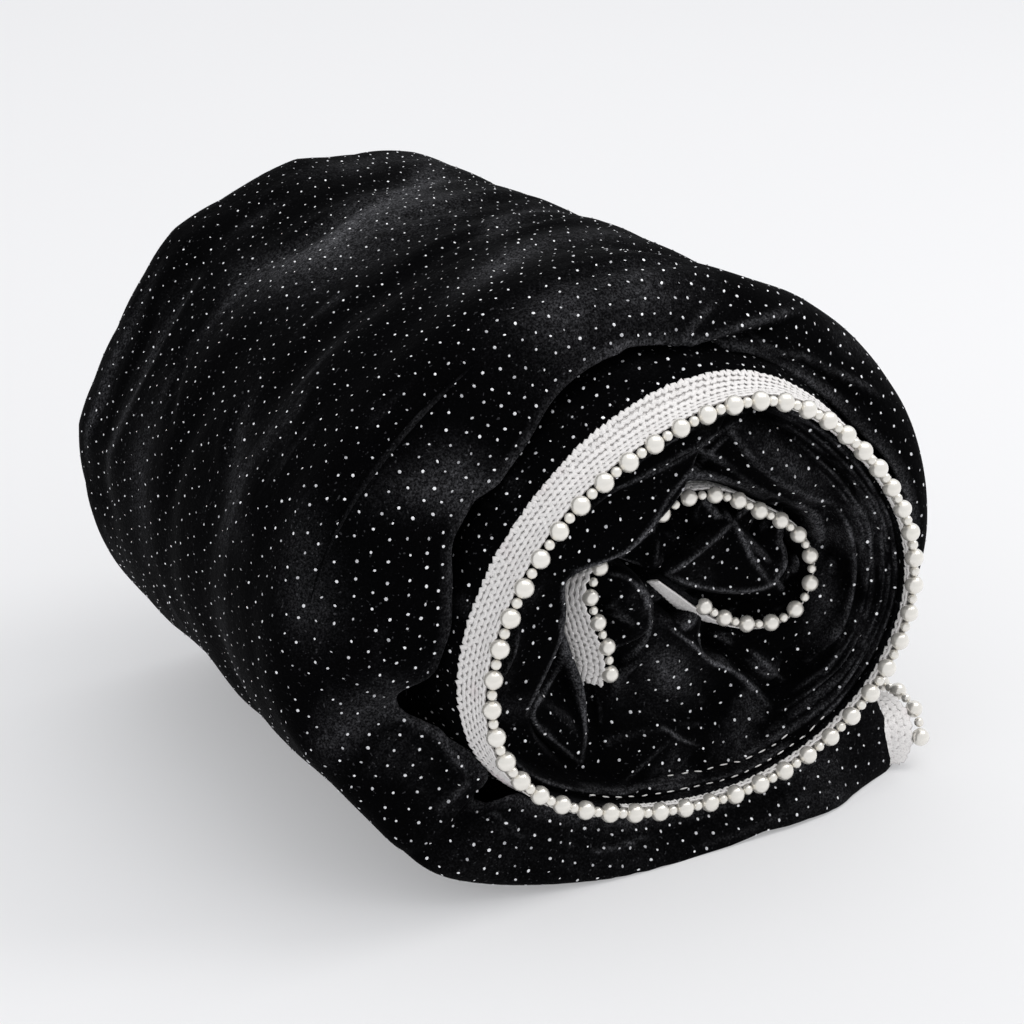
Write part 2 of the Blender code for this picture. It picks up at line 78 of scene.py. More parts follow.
# Outer turn's front lip: angle, radius, y, how far back its round shoulder reaches, forward bulge.
LIP_ROWS = (
    (0, 97, -103, 14, 0),
    (10, 94, -100, 15, 0),
    (22, 86, -97, 17, 0),
    (36, 80.7, -95.5, 19, 0),
    (50, 77.6, -95, 21, 0),
    (64, 76, -94.5, 23, 0),
    (80, 75, -94, 26, 0),
    (100, 77, -93, 28, 0),
    (115, 73, -92, 32, 0),
    (130, 67, -92, 36, 0),
    (143, 68, -92, 38, 0),
    (155, 74, -93, 38, 0),
    (168, 72, -96, 38, 0),
    (181, 73, -97, 36, 0),
    (188, 78, -95, 32, 0),
    (193.5, 88, -92, 26, 0),
    (198, 84.5, -95, 23, 0),
    (205, 79.5, -99, 20, 1),
    (213, 77.5, -102, 16, 2),
    (217.5, 80, -104, 14, 3),
    (219.5, 86, -103, 12, 2),
    (222.5, 79, -106, 10, 2),
    (230, 75.8, -108, 8, 2),
    (239, 74.4, -109.5, 7, 4),
    (252, 73.6, -110.5, 6, 7),
    (272, 75.2, -111, 6, 9),
    (290, 80.2, -111, 6, 10),
    (300, 83.6, -111, 6, 10),
    (306, 86.3, -110, 6, 9),
    (311, 88.2, -108, 6, 6),
    (318, 90.6, -106, 6, 2),
    (328, 94.2, -105, 11, 0),
    (342, 97, -104, 14, 0),
)

# Body sections: y, reach to the left, right, above and below the axis point, power of the lower half.
BODY_ROWS = (
    (-110, 119, 108, 97, 90.5, 2.30),
    (-75, 119, 107, 96.5, 90.5, 2.25),
    (-40, 115, 96, 94, 90.5, 2.15),
    (0, 112, 90, 92, 90.5, 2.05),
    (40, 110, 84, 90.5, 90.5, 2.0),
    (78, 108, 79, 89.5, 90.5, 1.95),
    (96, 108, 77, 88.5, 90.5, 1.95),
)

# Soft creases across the outer turn: y, angle, angle spread, depth, half width, skew in mm per degree.
CREASE_ROWS = (
    (-52, 75, 40, 2.6, 9, 0.10),
    (-58, 150, 30, 2.4, 9, -0.12),
    (-28, 120, 45, 2.2, 8, 0.08),
    (-2, 95, 40, 2.8, 9, -0.06),
    (8, 165, 35, 2.0, 8, 0.10),
    (30, 130, 45, 2.4, 8, 0.05),
    (48, 85, 35, 3.0, 8, -0.08),
    (62, 150, 40, 2.2, 8, 0.06),
    (-20, 200, 30, 1.8, 9, 0.05),
    (20, 20, 35, 2.4, 10, 0.10),
    (-60, 25, 25, 2.6, 9, 0.05),
    (-80, 207, 11, 3.4, 20, 0),
    (-94, 228, 13, -3.6, 16, 0),
    (0, 221, 16, -4.5, 22, 0),
    (74, 134, 28, -4.2, 24, 0),
    (-64, 62, 18, 3.6, 20, 0),
    (-90, 16, 18, -3.0, 20, 0),
)

# Corner where the cloth's outer end turns in under the roll's open end: angle, how far it stands out.
CORNER_ROWS = (
    (290, 0), (298.6, 5), (304, 10), (308.7, 15), (312.3, 20.5), (315.3, 25.5), (317.5, 26.5),
    (319.7, 23), (321.7, 15), (324, 5.5), (327, 0),
)
CORNER_BACK_Y = -60.0
CORNER_FADE = 28.0

# The flattened places round the closed end, at angles, as the photo shows them on the left and above.
BACK_ROWS = (
    (76, 0), (90, -1.7), (97, -0.6), (104, 1.8), (111, 1.0), (122, -0.9), (133, 0.2), (143, -2.6),
    (155, -4.6), (166, -2.8), (174, 0.4), (185, -1.3), (196, 0.5), (210, 2.2), (221, 0.5), (236, 0),
)
BACK_FRONT_Y = 14.0
BACK_FADE = 52.0

# Second turn, the one that carries the long edge's border: angle, radius.
RING_ROWS = (
    (0, 87.6), (15, 80.4), (30, 74.2), (45, 70.6), (60, 67.7), (75, 63.7), (90, 59.3), (105, 56.6),
    (120, 56.1), (135, 57.1), (150, 59.1), (165, 62.4), (180, 67.1), (195, 71.5), (210, 73.7),
    (225, 72.9), (240, 70.8), (255, 70.0), (270, 71.6), (285, 75.4), (300, 80.6), (315, 86.4),
    (330, 91.1), (345, 91.9),
)

# How far the second turn opens out behind its border: angle, distance.
FLARE_ROWS = (
    (0, 8.0), (22, 9.0), (45, 8.5), (64, 10.0), (80, 14.0), (98, 17.0), (115, 14.0), (135, 8.0),
    (160, 7.0), (185, 6.0), (205, 5.5), (235, 4.5), (260, 2.5), (300, 1.5), (335, 4.5),
)
FLARE_REACH = 15.0

# Creases drawn on the outer turn as it is seen from the front left, in points of a 1024-point picture:
# height, half width, strength of the painted sheen along it, then x and y along each.
CREASES = (
    (2.2, 6, 0.60, ((800, 308), (775, 316), (752, 323), (728, 331), (703, 339), (678, 346))),
    (-3.4, 6, 0.0, ((790, 321), (765, 330), (740, 337), (703, 348), (660, 358), (621, 370))),
    (1.5, 5, 0.42, ((715, 303), (703, 314), (691, 327), (678, 343))),
    (1.3, 4, 0.40, ((756, 335), (770, 349), (805, 357), (834, 371), (860, 383), (879, 394))),
    (-2.2, 6, 0.0, ((762, 344), (785, 360), (812, 370), (840, 386), (865, 402), (880, 415))),
    (-1.2, 9, 0.0, ((700, 283), (720, 294), (746, 302))),
    (1.2, 5, 0.42, ((631, 339), (612, 354), (592, 372), (572, 400))),
    (1.6, 6, 0.48, ((386, 719), (396, 716), (414, 722), (436, 734), (458, 763), (470, 772))),
    (1.0, 5, 0.36, ((470, 772), (462, 788), (446, 800), (438, 812))),
    (-2.0, 7, 0.0, ((374, 700), (360, 690), (340, 686))),
    (-1.6, 4, 0.10, ((571, 828), (571, 850), (570, 872))),
    (0.7, 4, 0.42, ((590, 852), (612, 848), (632, 842), (648, 835))),
    (0.8, 3, 0.20, ((484, 783), (494, 812), (510, 826), (524, 836))),
    (-0.9, 4, 0.0, ((478, 800), (500, 824), (530, 842))),
    (0.8, 3, 0.16, ((488, 824), (510, 832), (545, 834))),
    (-1.2, 6, 0.0, ((436, 812), (424, 830), (420, 850))),
    (-1.0, 5, 0.0, ((640, 826), (690, 818), (740, 800))),
    (0.8, 4, 0.14, ((700, 846), (745, 832), (790, 812))),
    (-1.4, 5, 0.0, ((446, 500), (425, 512), (400, 508))),
    (1.2, 5, 0.34, ((454, 494), (466, 490), (484, 486))),
)

# The same on the folds inside the open end; a height of nothing is a soft patch of painted sheen.
FOLD_CREASES = (
    (1.2, 5, 0.55, ((733, 522), (716, 537), (700, 550), (682, 564), (665, 575))),
    (1.0, 5, 0.50, ((733, 520), (740, 534), (747, 550), (757, 566), (768, 580))),
    (0.8, 5, 0.42, ((668, 576), (690, 584), (711, 588), (734, 590), (760, 588), (785, 576), (796, 562))),
    (0.6, 4, 0.40, ((662, 514), (652, 527), (641, 538), (628, 549), (610, 559), (590, 565), (571, 572))),
    (0.7, 5, 0.45, ((612, 574), (625, 577), (638, 587), (647, 603), (650, 618), (646, 636), (636, 650),
                    (623, 661))),
    (0.5, 4, 0.30, ((658, 540), (657, 552), (655, 566))),
    (0.9, 5, 0.50, ((669, 627), (690, 643), (711, 661), (736, 673), (752, 686), (767, 704))),
    (0.8, 5, 0.40, ((751, 651), (766, 664), (782, 680))),
    (-1.2, 5, 0.0, ((699, 679), (708, 696), (718, 714))),
    (0.0, 30, 0.16, ((655, 648), (668, 672), (655, 700))),
    (1.0, 4, 0.55, ((560, 620), (564, 649), (556, 668), (546, 686), (533, 718), (540, 730), (555, 742),
                    (579, 762))),
    (0.6, 4, 0.45, ((575, 693), (582, 712), (585, 730), (581, 762))),
    (0.0, 12, 0.20, ((514, 632), (503, 657), (500, 690))),
    (0.8, 5, 0.34, ((579, 786), (619, 789), (663, 782), (700, 774))),
    (0.0, 20, 0.16, ((642, 676), (668, 672), (690, 690))),
    (0.9, 5, 0.40, ((663, 727), (678, 737), (698, 746))),
    (0.5, 4, 0.20, ((623, 782), (646, 762), (670, 741))),
    (0.5, 3, 0.34, ((866, 645), (852, 672), (837, 694), (824, 708))),
    (0.5, 3, 0.34, ((884, 645), (868, 672), (848, 697), (828, 714))),
    (0.4, 3, 0.26, ((846, 630), (836, 656), (820, 682))),
    (0.6, 4, 0.40, ((613, 490), (643, 477), (675, 462), (706, 442), (736, 421))),
    (0.6, 4, 0.42, ((622, 556), (641, 536), (658, 515), (670, 496), (685, 477), (712, 450), (738, 426))),
    (0.0, 18, 0.20, ((744, 432), (769, 447), (801, 474), (828, 502))),
    (0.5, 4, 0.26, ((785, 417), (808, 423), (826, 433), (848, 450), (864, 470))),
    (0.5, 3, 0.24, ((797, 411), (822, 421), (846, 438), (870, 463))),
    (0.5, 3, 0.24, ((868, 480), (878, 510), (882, 545), (880, 580))),
    (0.4, 3, 0.24, ((856, 486), (866, 516), (870, 550), (866, 590))),
    (0.0, 16, 0.14, ((812, 560), (824, 600), (812, 640))),
)

# Running stitches along the plies at the foot of the open end, in the same picture points.
STITCH_ROWS = (
    ((586, 795), (626, 797), (660, 793), (700, 785), (732, 777), (760, 764), (786, 748), (806, 733),
     (826, 714)),
    ((664, 777), (700, 771), (736, 762), (764, 750), (790, 733)),
)

# Tucks where the outer turn's lip folds in: angle, half width in degrees, depth, how far back they run.
TUCKS = (
    (194.0, 3.0, 4.0, 20.0),
    (219.3, 2.2, 3.0, 20.0),
    (147.0, 3.5, 2.0, 12.0),
)

# Small pulls in the outer turn: depth, half width, then angle and y along each one.
PULLS = (
    (1.4, 3.2, ((112, 13), (101, 10), (92, 7), (73, 15))),
    (1.2, 3.0, ((116, -24), (103, -20), (89, -20), (74, -16))),
    (1.0, 2.6, ((118, -74), (105, -76), (89, -78), (71, -77))),
    (1.3, 3.2, ((133, 38), (122, 32), (110, 33), (95, 34))),
    (1.0, 2.6, ((165, 57), (160, 55), (152, 55), (144, 58), (138, 60))),
    (1.0, 2.6, ((174, 70), (167, 72), (157, 73), (145, 76))),
    (0.9, 2.4, ((161, -23), (157, -16), (151, -13))),
    (0.9, 2.4, ((162, 21), (156, 31), (150, 38))),
    (1.2, 3.0, ((60, -62), (40, -66), (22, -72))),
    (1.0, 2.6, ((38, -20), (22, -8), (8, 2))),
    (1.0, 2.6, ((20, 40), (8, 30), (352, 24))),
    (0.9, 2.4, ((230, -40), (215, -30), (200, -26))),
)

# Painted sheen on the outer turn, strokes where the pile catches the light: strength, half width, then angle
# and y along each.
PAINTED_SHEEN_STROKES = (
    (0.55, 7.0, ((133, 36), (121, 21), (109, 28), (95, 36), (75, 63))),
    (0.32, 13.0, ((134, 28), (121, 12), (100, 14), (84, 22))),
    (0.40, 6.0, ((116, -52), (104, -48), (90, -43), (72, -39))),
    (0.36, 6.0, ((100, -26), (90, -14), (80, -6), (66, 2))),
    (0.30, 8.0, ((117, -84), (104, -83), (89, -84), (74, -82))),
    (0.26, 2.6, ((139, 56), (151, 57), (163, 54), (174, 57), (184, 62))),
    (0.22, 2.4, ((140, 76), (155, 76), (169, 75), (182, 76))),
    (0.16, 7.0, ((160, 40), (168, 36), (178, 32), (191, 34))),
    (0.14, 5.0, ((150, -14), (156, -20), (163, -30), (170, -48))),
    (0.30, 5.0, ((153, -86), (147, -89), (139, -91))),
    (0.30, 4.0, ((199, -84), (193, -88), (187, -92))),
    (0.12, 6.0, ((160, -70), (168, -77), (180, -84))),
    (0.16, 7.0, ((108, 62), (90, 70), (70, 74))),
    (0.22, 6.0, ((58, -70), (42, -76), (26, -82))),
    (0.20, 8.0, ((50, -30), (34, -24), (18, -18))),
    (0.18, 8.0, ((40, 24), (24, 30), (8, 34))),
)

# Folds inside the open end. Each row: how far it slopes to its left and the drop there, the same to its
# right, then x, z and height towards the open end along its ridge.
FOLDS = (
    (2.0, 9, 9, 6, ((31, 138.7, 101), (24, 135.4, 105), (14.5, 132.8, 106), (4, 130, 106), (-7, 127, 106),
                    (-14, 124, 105), (-21, 118.5, 103), (-28, 113, 100))),
    (2.6, 13, 24, 8, ((33, 136, 97), (20.5, 128.3, 101), (15, 121.7, 104), (10, 115.2, 104),
                      (1.4, 109.4, 104),
                      (-5, 105, 104), (-13.5, 103.2, 104), (-22, 102.2, 104), (-27.7, 99.5, 104),
                      (-28, 96, 104), (-27.4, 89.8, 104), (-29.1, 80.6, 104), (-33.3, 72.8, 104),
                      (-37.5, 64, 103), (-39.4, 58.4, 102), (-38.7, 53.7, 102), (-35.8, 47.2, 102),
                      (-28.8, 38, 101), (-22.2, 29.8, 100), (-14.5, 26, 97))),
    (1.6, 6, 1.6, 6, ((-42.4, 91.4, 102), (-44.4, 84, 105), (-47, 78, 105), (-49, 70.6, 101))),
    (14, 8, 3.0, 8, ((32.3, 136.4, 99), (37, 127.5, 103), (45.3, 117.8, 104), (55.9, 109.9, 104),
                     (65.5, 104.1, 103), (75.1, 99.9, 102), (81.4, 93.3, 101), (85.4, 85.1, 98),
                     (87.2, 76.3, 94))),
    (12, 8, 2.5, 9, ((23.7, 128.9, 97), (29.3, 124.3, 100), (38.6, 116.3, 101), (50.2, 108.6, 101),
                     (59.7, 103.4, 100), (67, 97.6, 99), (72.1, 89.2, 97), (76.2, 79.9, 93))),
    (6, 5, 8, 6, ((70.7, 78.4, 95), (76.8, 74.8, 98), (85.4, 71.6, 98), (92.7, 70.8, 95))),
    (10, 5, 10, 5, ((44.6, 60, 93), (56.4, 58, 97), (68, 61.2, 98), (79.7, 66.7, 98), (89.1, 70.7, 95))),
    (8, 4, 10, 5, ((57.7, 45.5, 93), (69.5, 48.8, 96), (81.2, 54.2, 97), (91.6, 62.2, 95))),
    (3.5, 9, 20, 8, ((5.6, 76.4, 93), (14.6, 71, 97), (21.6, 64, 99), (28.7, 54.9, 99), (36.8, 51.6, 98),
                     (45.3, 42.9, 97), (52.7, 34.5, 95), (58.9, 29.5, 92))),
    (14, 6, 3.0, 8, ((16.1, 68.8, 98), (7.3, 62.9, 97), (0.8, 56.4, 95), (-3.5, 46.2, 91))),
    (3.0, 9, 10, 5, ((27.3, 57.1, 98), (26.4, 48.9, 97), (23.2, 43.5, 95), (18.8, 37.3, 92))),
    (3.0, 6, 8, 5, ((17.7, 36.6, 93), (24.7, 29.2, 97), (30.7, 23.2, 97), (35, 17.1, 93))),
    (3.0, 5, 3.0, 5, ((40, 25.4, 94), (35.4, 21.9, 97), (31.4, 19.2, 95))),
    (8, 5, 4.0, 6, ((41.6, 55.2, 95), (50.1, 48.2, 99), (55, 43.7, 98), (59.3, 39.8, 94))),
    (2.6, 10, 12, 5, ((-8.9, 95.2, 96), (-2.4, 93, 99), (3.7, 87, 100), (6.4, 80.3, 100), (4.6, 71.6, 98),
                      (-0.8, 67.4, 94))),
    (2.6, 8, 3.5, 12, ((-23.8, 80.1, 95), (-20.4, 67.1, 98), (-18.2, 59.4, 99), (-17, 51.9, 99),
                       (-17.2, 41.6, 98),
                     (-18.4, 34.2, 96))),
    (8, 4, 3.0, 5, ((-36, 54.6, 101), (-28.4, 47.4, 101), (-23, 39.6, 100), (-19.6, 33.4, 98))),
    (16, 6, 2.5, 8, ((-20.2, 27.3, 99), (-12.4, 24.2, 101), (-1.3, 24.3, 102), (14.6, 22.8, 102),
                     (28.4, 19.8, 102),
                     (44.8, 20.4, 102), (60.1, 22.5, 102), (74.3, 28.3, 102), (84.8, 36.2, 101),
                     (96.3, 47.2, 100),
                     (100, 58, 97))),
    (2.2, 8, 7, 6, ((-27.4, 30.7, 103), (-18.7, 26.5, 106), (-4.2, 21.5, 107), (8.2, 19.5, 107),
                    (24.2, 17.2, 107),
                    (35.8, 17, 107), (45.2, 18.3, 107), (52.2, 19.7, 107), (61.6, 22.4, 107),
                    (68.6, 24.7, 107),
                    (75.6, 29.5, 106), (85.9, 39.6, 105), (94.9, 51.2, 103))),
    (14, 6, 3.0, 7, ((37.2, 101, 96), (28, 97.7, 99), (21.4, 94.2, 99), (14.8, 91.9, 98), (10.4, 89.7, 95))),
    (3.0, 6, 12, 5, ((37.2, 101, 96), (42.8, 93.1, 99), (50.1, 85.2, 99), (56.2, 78, 96))),
    (14, 5, 2.4, 9, ((9.7, 90.3, 95), (21, 84.5, 98), (32.4, 79.5, 99), (43.9, 76.6, 99), (53.2, 76.5, 98),
                     (60, 81, 97), (60.7, 85, 95))),
    (4, 5, 5, 5, ((11.5, 99.9, 94), (10.8, 94.1, 97), (11.2, 88.9, 95))),
    (2.8, 4, 2.6, 5, ((19, 119.8, 97), (28, 118.8, 99.5), (38, 114.6, 99.5), (47, 109, 99), (55, 103.6, 97))),
)

# Thin plies that run along inside the second turn: first angle, last angle, inset, height.
INNER_PLIES = (
    (58, 203, 7.6, 105.5),
    (-96, 62, 1.7, 109.6),
    (-70, 54, 3.7, 108.6),
    (-58, 46, 5.5, 107.8),
    (-50, 38, 8.2, 106.6),
    (-44, 28, 10.2, 105.6),
    (-36, 14, 13.4, 103.8),
    (200, 268, 2.2, 109.0),
)
CLOTH_HEIGHT_DEEP = 85.0
CLOTH_HEIGHT_RIM = 99.0

# Inner turn's edge with the small pearl loop, and the short end at the left: x, z, y of pearls' centres.
LOOP_ROWS = (
    (9.9, 110.7, -99),
    (17.1, 114.0, -100),
    (27.1, 113.3, -100),
    (37.0, 109.3, -100),
    (45.2, 104.0, -100),
    (54.1, 98.4, -100),
    (61.4, 91.7, -100),
    (66.1, 83.7, -100),
    (67.0, 76.0, -100),
    (64.0, 68.4, -100),
    (56.1, 64.2, -100),
    (46.0, 64.9, -100),
    (35.5, 69.1, -100),
    (25.7, 76.2, -100),
)
LOOP_TAIL_ROWS = (
    (17.5, 83.5, -100.5),
    (9.5, 90.5, -100),
)
END_ROWS = (
    (-12.4, 98.6, -99),
    (-16.2, 91.8, -100),
    (-13.4, 81.0, -100),
    (-9.6, 70.2, -100),
    (-8.8, 62.4, -100),
)
END_TAIL_ROWS = (
    (-9.6, 58.4, -99.4),
)

# How far the border leans outwards behind its pearls: share of the edge, degrees.
LOOP_LEANS = (
    (0.0, 3),
    (0.3, 0),
    (0.5, 3),
    (0.62, 9),
    (0.75, 14),
    (0.88, 20),
    (1.0, 25),
)
END_LEANS = (
    (0.0, 22),
    (0.5, 34),
    (1.0, 42),
)

# Outer end of the cloth, a rounded pad beside the roll's foot: y, reach, height.
PAD_FRONT_Y = -94.0
PAD_ROWS = (
    (-96, 98.0, 22.0),
    (-80, 100.0, 23.0),
    (-30, 99.0, 22.0),
    (30, 95.0, 21.0),
    (80, 90.0, 19.0),
    (86, 88.0, 17.5),
)
PAD_CLEAR = 3.2

# Border along the cloth's outer end: pearls' centre x, y, z and tape's inner edge x, y, z.
HEM_ROWS = (
    (106.0, -108.0, 2.6, 98.5, -104.0, 2.0),
    (109.6, -107.5, 10.2, 97.5, -104.0, 9.0),
    (111.2, -103.0, 16.0, 96.5, -102.5, 16.0),
    (111.8, -95.0, 19.5, 98.5, -95.0, 18.0),
    (112.6, -86.0, 18.5, 101.0, -85.0, 14.5),
    (112.0, -60.0, 17.0, 102.6, -60.0, 12.0),
    (109.5, -20.0, 16.0, 100.6, -20.0, 11.5),
    (106.0, 25.0, 15.0, 97.6, 25.0, 11.0),
    (101.5, 65.0, 14.0, 93.6, 65.0, 10.5),
    (98.5, 84.0, 13.0, 90.8, 84.0, 10.0),
)


# Sizes to shapes.
def built(points):
    """Working millimetres to metres in the row frame."""
    return (np.asarray(points, float) - SHIFT) * MM


def smooth(keys, values, at):
    """Smooth curve through the values at rising keys, with slopes taken from the neighbours."""
    keys = np.asarray(keys, float)
    values = np.asarray(values, float)
    slope = np.gradient(values, keys)
    at = np.clip(np.asarray(at, float), keys[0], keys[-1])
    span = np.clip(np.searchsorted(keys, at, side="right") - 1, 0, len(keys) - 2)
    width = keys[span + 1] - keys[span]
    t = (at - keys[span]) / width
    start = (1 + 2 * t) * (1 - t) ** 2 * values[span] + t * (1 - t) ** 2 * width * slope[span]
    end = t * t * (3 - 2 * t) * values[span + 1] + t * t * (t - 1) * width * slope[span + 1]
    return start + end


def around(rows, column, angles):
    """Smooth closed curve through a table whose first column is an angle in degrees."""
    keys = [row[0] for row in rows]
    values = [row[column] for row in rows]
    keys = [k - 360 for k in keys] + keys + [k + 360 for k in keys]
    return smooth(keys, values * 3, np.mod(angles, 360))


def full_circle(count):
    """Even angles once round."""
    return np.arange(count) * 360.0 / count


def angle_off(angles, middle):
    """Angle from a middle one, from -180 to 180 degrees."""
    return np.mod(angles - middle + 180, 360) - 180


def turn_of(points):
    """Angle of each point round the axis point."""
    return np.degrees(np.arctan2(points[..., 2] - AXIS_Z, points[..., 0] - AXIS_X))


def eased(amount, share):
    """An amount that comes in smoothly as its share goes from 0 to 1."""
    return amount * share * share * (3 - 2 * share)


def run_along(points):
    """Distance run down a path, or down each column of a grid."""
    steps = np.linalg.norm(np.diff(points, axis=0), axis=-1)
    return np.concatenate([np.zeros((1, *steps.shape[1:])), np.cumsum(steps, axis=0)])


def along(rows, count):
    """Points at even spacing along a smooth path through the rows."""
    points = np.array(rows, float)
    keys = run_along(points[:, :3])
    at = np.linspace(0, keys[-1], count)
    return np.stack([smooth(keys, points[:, k], at) for k in range(points.shape[1])], -1)


def polar(angles, radius, y):
    """Points at an angle and radius round the axis point."""
    a = np.radians(angles)
    x = AXIS_X + radius * np.cos(a)
    z = AXIS_Z + radius * np.sin(a)
    return np.stack([x, np.broadcast_to(y, x.shape), z], -1)


def ring_radius(angles, y):
    """Second turn's outer radius, which opens out behind its border."""
    behind = np.maximum(y - EDGE_Y - 1.0, 0) / FLARE_REACH
    return around(RING_ROWS, 1, angles) + around(FLARE_ROWS, 1, angles) * (1 - np.exp(-behind ** 1.6))


def body_radius(angles, y):
    """Outer turn's radius at a y, creases included."""
    a = np.radians(angles)
    keys = [row[0] for row in BODY_ROWS]
    left, right, above, below, low = [smooth(keys, [row[k] for row in BODY_ROWS], y) for k in range(1, 6)]
    wide = np.where(np.cos(a) > 0, right, left)
    high = np.where(np.sin(a) > 0, above, below)
    power = np.where(np.sin(a) > 0, SECTION_POWER, low)
    whole = (np.abs(np.cos(a)) / wide) ** power + (np.abs(np.sin(a)) / high) ** power
    radius = whole ** (-1 / power)
    for crease_y, angle, spread, depth, half, skew in CREASE_ROWS:
        off = angle_off(angles, angle)
        place = (y - crease_y - skew * off) / half
        radius = radius - depth * np.exp(-place ** 2 - (off / spread) ** 2)
    for table, reach in (
        (CORNER_ROWS, (CORNER_BACK_Y - y) / CORNER_FADE),
        (BACK_ROWS, (y - BACK_FRONT_Y) / BACK_FADE),
    ):
        more = np.interp(np.mod(angles, 360), [row[0] for row in table], [row[1] for row in table])
        radius = radius + eased(more, np.clip(reach, 0, 1))
    return radius


def normals(grid, close_rows=False, close_columns=False):
    """Unit normals of a grid of points."""
    down = slope_of(grid, 0, close_rows)
    across = slope_of(grid, 1, close_columns)
    normal = np.cross(down, across)
    return normal / np.maximum(np.linalg.norm(normal, axis=-1, keepdims=True), 1e-9)


def slope_of(grid, axis, closed):
    """Change from point to point along an axis of a grid."""
    if closed:
        return np.roll(grid, -1, axis=axis) - np.roll(grid, 1, axis=axis)
    return np.gradient(grid, axis=axis)


def stroke_distance(px, pz, path):
    """Distance to a path, which side of it each point lies on, and how far along the nearest place is."""
    best = np.full(px.shape, 1e9)
    side = np.zeros(px.shape)
    place = np.zeros(px.shape)
    for k in range(len(path) - 1):
        ax, az = path[k, 0], path[k, 1]
        dx, dz = path[k + 1, 0] - ax, path[k + 1, 1] - az
        t = np.clip(((px - ax) * dx + (pz - az) * dz) / (dx * dx + dz * dz + 1e-9), 0, 1)
        away = np.hypot(px - ax - t * dx, pz - az - t * dz)
        near = away < best
        best = np.where(near, away, best)
        turn = dx * (pz - az) - dz * (px - ax)
        side = np.where(near, np.sign(turn), side)
        place = np.where(near, k + t, place)
    return best, side, place


def ripple(points, scale, seed):
    """Smooth noise from -1 to 1 at each point of a grid."""
    flat = points.reshape(-1, 3) * scale + seed * 17.3
    value = np.array([noise.noise(Vector(p)) for p in flat])
    return value.reshape(points.shape[:-1])


def painted_ridge_sheen(grid, reach, low, high, close_rows=False, close_columns=False):
    """How far each point of a cloth stands out of its surroundings, 0 at low to 1 at high millimetres; used
    as the mask of painted sheen on ridges.
    """
    normal = normals(grid, close_rows, close_columns)
    total = np.zeros(grid.shape[:2])
    for step in (reach, reach * 2):
        near = np.zeros(grid.shape)
        for axis, closed in ((0, close_rows), (1, close_columns)):
            if closed:
                near += np.roll(grid, step, axis=axis) + np.roll(grid, -step, axis=axis)
            else:
                size = grid.shape[axis]
                ahead = np.clip(np.arange(size) + step, 0, size - 1)
                behind = np.clip(np.arange(size) - step, 0, size - 1)
                near += np.take(grid, ahead, axis=axis) + np.take(grid, behind, axis=axis)
        total += ((grid - near / 4) * normal).sum(-1)
    return np.clip((total - low) / (high - low), 0, 1)


# Meshes.
def lay(shape, grid, mark=None, close_rows=False, close_columns=False):
    """Add a grid of cloth points to a bmesh, joined to itself where it is closed."""
    if close_rows:
        grid = np.concatenate([grid, grid[:1]])
        mark = None if mark is None else np.concatenate([mark, mark[:1]])
    if close_columns:
        grid = np.concatenate([grid, grid[:, :1]], axis=1)
        mark = None if mark is None else np.concatenate([mark, mark[:, :1]], axis=1)
    rows, columns = grid.shape[:2]
    made = bmesh.ops.create_grid(shape, x_segments=columns - 1, y_segments=rows - 1, size=0.5, calc_uvs=True)
    # Each point's mark is painted sheen: how far its colour is lifted toward pale grey.
    painted_pile_sheen = shape.verts.layers.float.get("painted_pile_sheen")
    points = built(grid).reshape(-1, 3)
    marks = np.zeros(len(points)) if mark is None else mark.reshape(-1)
    for vert, point, value in zip(made["verts"], points, marks):
        vert.co = point
        vert[painted_pile_sheen] = value
    return made["verts"]


def new_shape():
    """Empty bmesh with a layer for the painted sheen on the pile, and a UV map."""
    shape = bmesh.new()
    shape.verts.layers.float.new("painted_pile_sheen")
    shape.loops.layers.uv.new("UVMap")
    return shape


def add_object(name, data):
    """Put a new object into the scene."""
    item = bpy.data.objects.new(name, data)
    bpy.context.scene.collection.objects.link(item)
    return item


def finish_piece(name, shape, finish, nodes, outward=True):
    """Turn a bmesh into a piece of the object with its finish."""
    bmesh.ops.remove_doubles(shape, verts=shape.verts[:], dist=1e-7)
    if outward:
        bmesh.ops.recalc_face_normals(shape, faces=shape.faces[:])
    mesh = bpy.data.meshes.new(name)
    shape.to_mesh(mesh)
    shape.free()
    mesh.shade_smooth()
    mesh.materials.append(finish)
    piece = add_object(name, mesh)
    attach(piece, "root")
    if nodes:
        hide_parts(*nodes)
    return piece


def close_ends(shape):
    """Fill the open ends of a tube."""
    edges = [edge for edge in shape.edges if edge.is_boundary]
    bmesh.ops.holes_fill(shape, edges=edges, sides=0)


def stamp(shape, form, places):
    """Add a copy of a small form at each place."""
    for place in places:
        copy = form.copy()
        copy.transform(place)
        shape.from_mesh(copy, face_normals=False, vertex_normals=False)
        bpy.data.meshes.remove(copy)


def small_form(name, shape):
    """Mesh of a small form, to be stamped many times."""
    mesh = bpy.data.meshes.new(name)
    shape.to_mesh(mesh)
    shape.free()
    return mesh


def sphere_form(name, columns, rows):
    """A small ball with as many faces round and high as given."""
    shape = new_shape()
    bmesh.ops.create_uvsphere(shape, u_segments=columns, v_segments=rows, radius=1)
    return small_form(name, shape)


def turn_to(piece, way):
    """Turn an open piece's faces over where they don't look along Y the given way."""
    facing = sum(face.normal.y * face.area for face in piece.data.polygons)
    if facing * way < 0:
        piece.data.flip_normals()


# The outer turn.
def near_stroke(angles, y, rows, count, fade):
    """Distance to a stroke over the outer turn, and how much of it is left towards its ends."""
    centre = rows[len(rows) // 2][0]
    path = along([(angle_off(a, centre) * MM_PER_DEGREE, b, 0) for a, b in rows], count)
    away, _, place = stroke_distance(angle_off(angles, centre) * MM_PER_DEGREE, y, path)
    return away, np.clip(np.minimum(place, count - 1 - place) / fade, 0, 1)


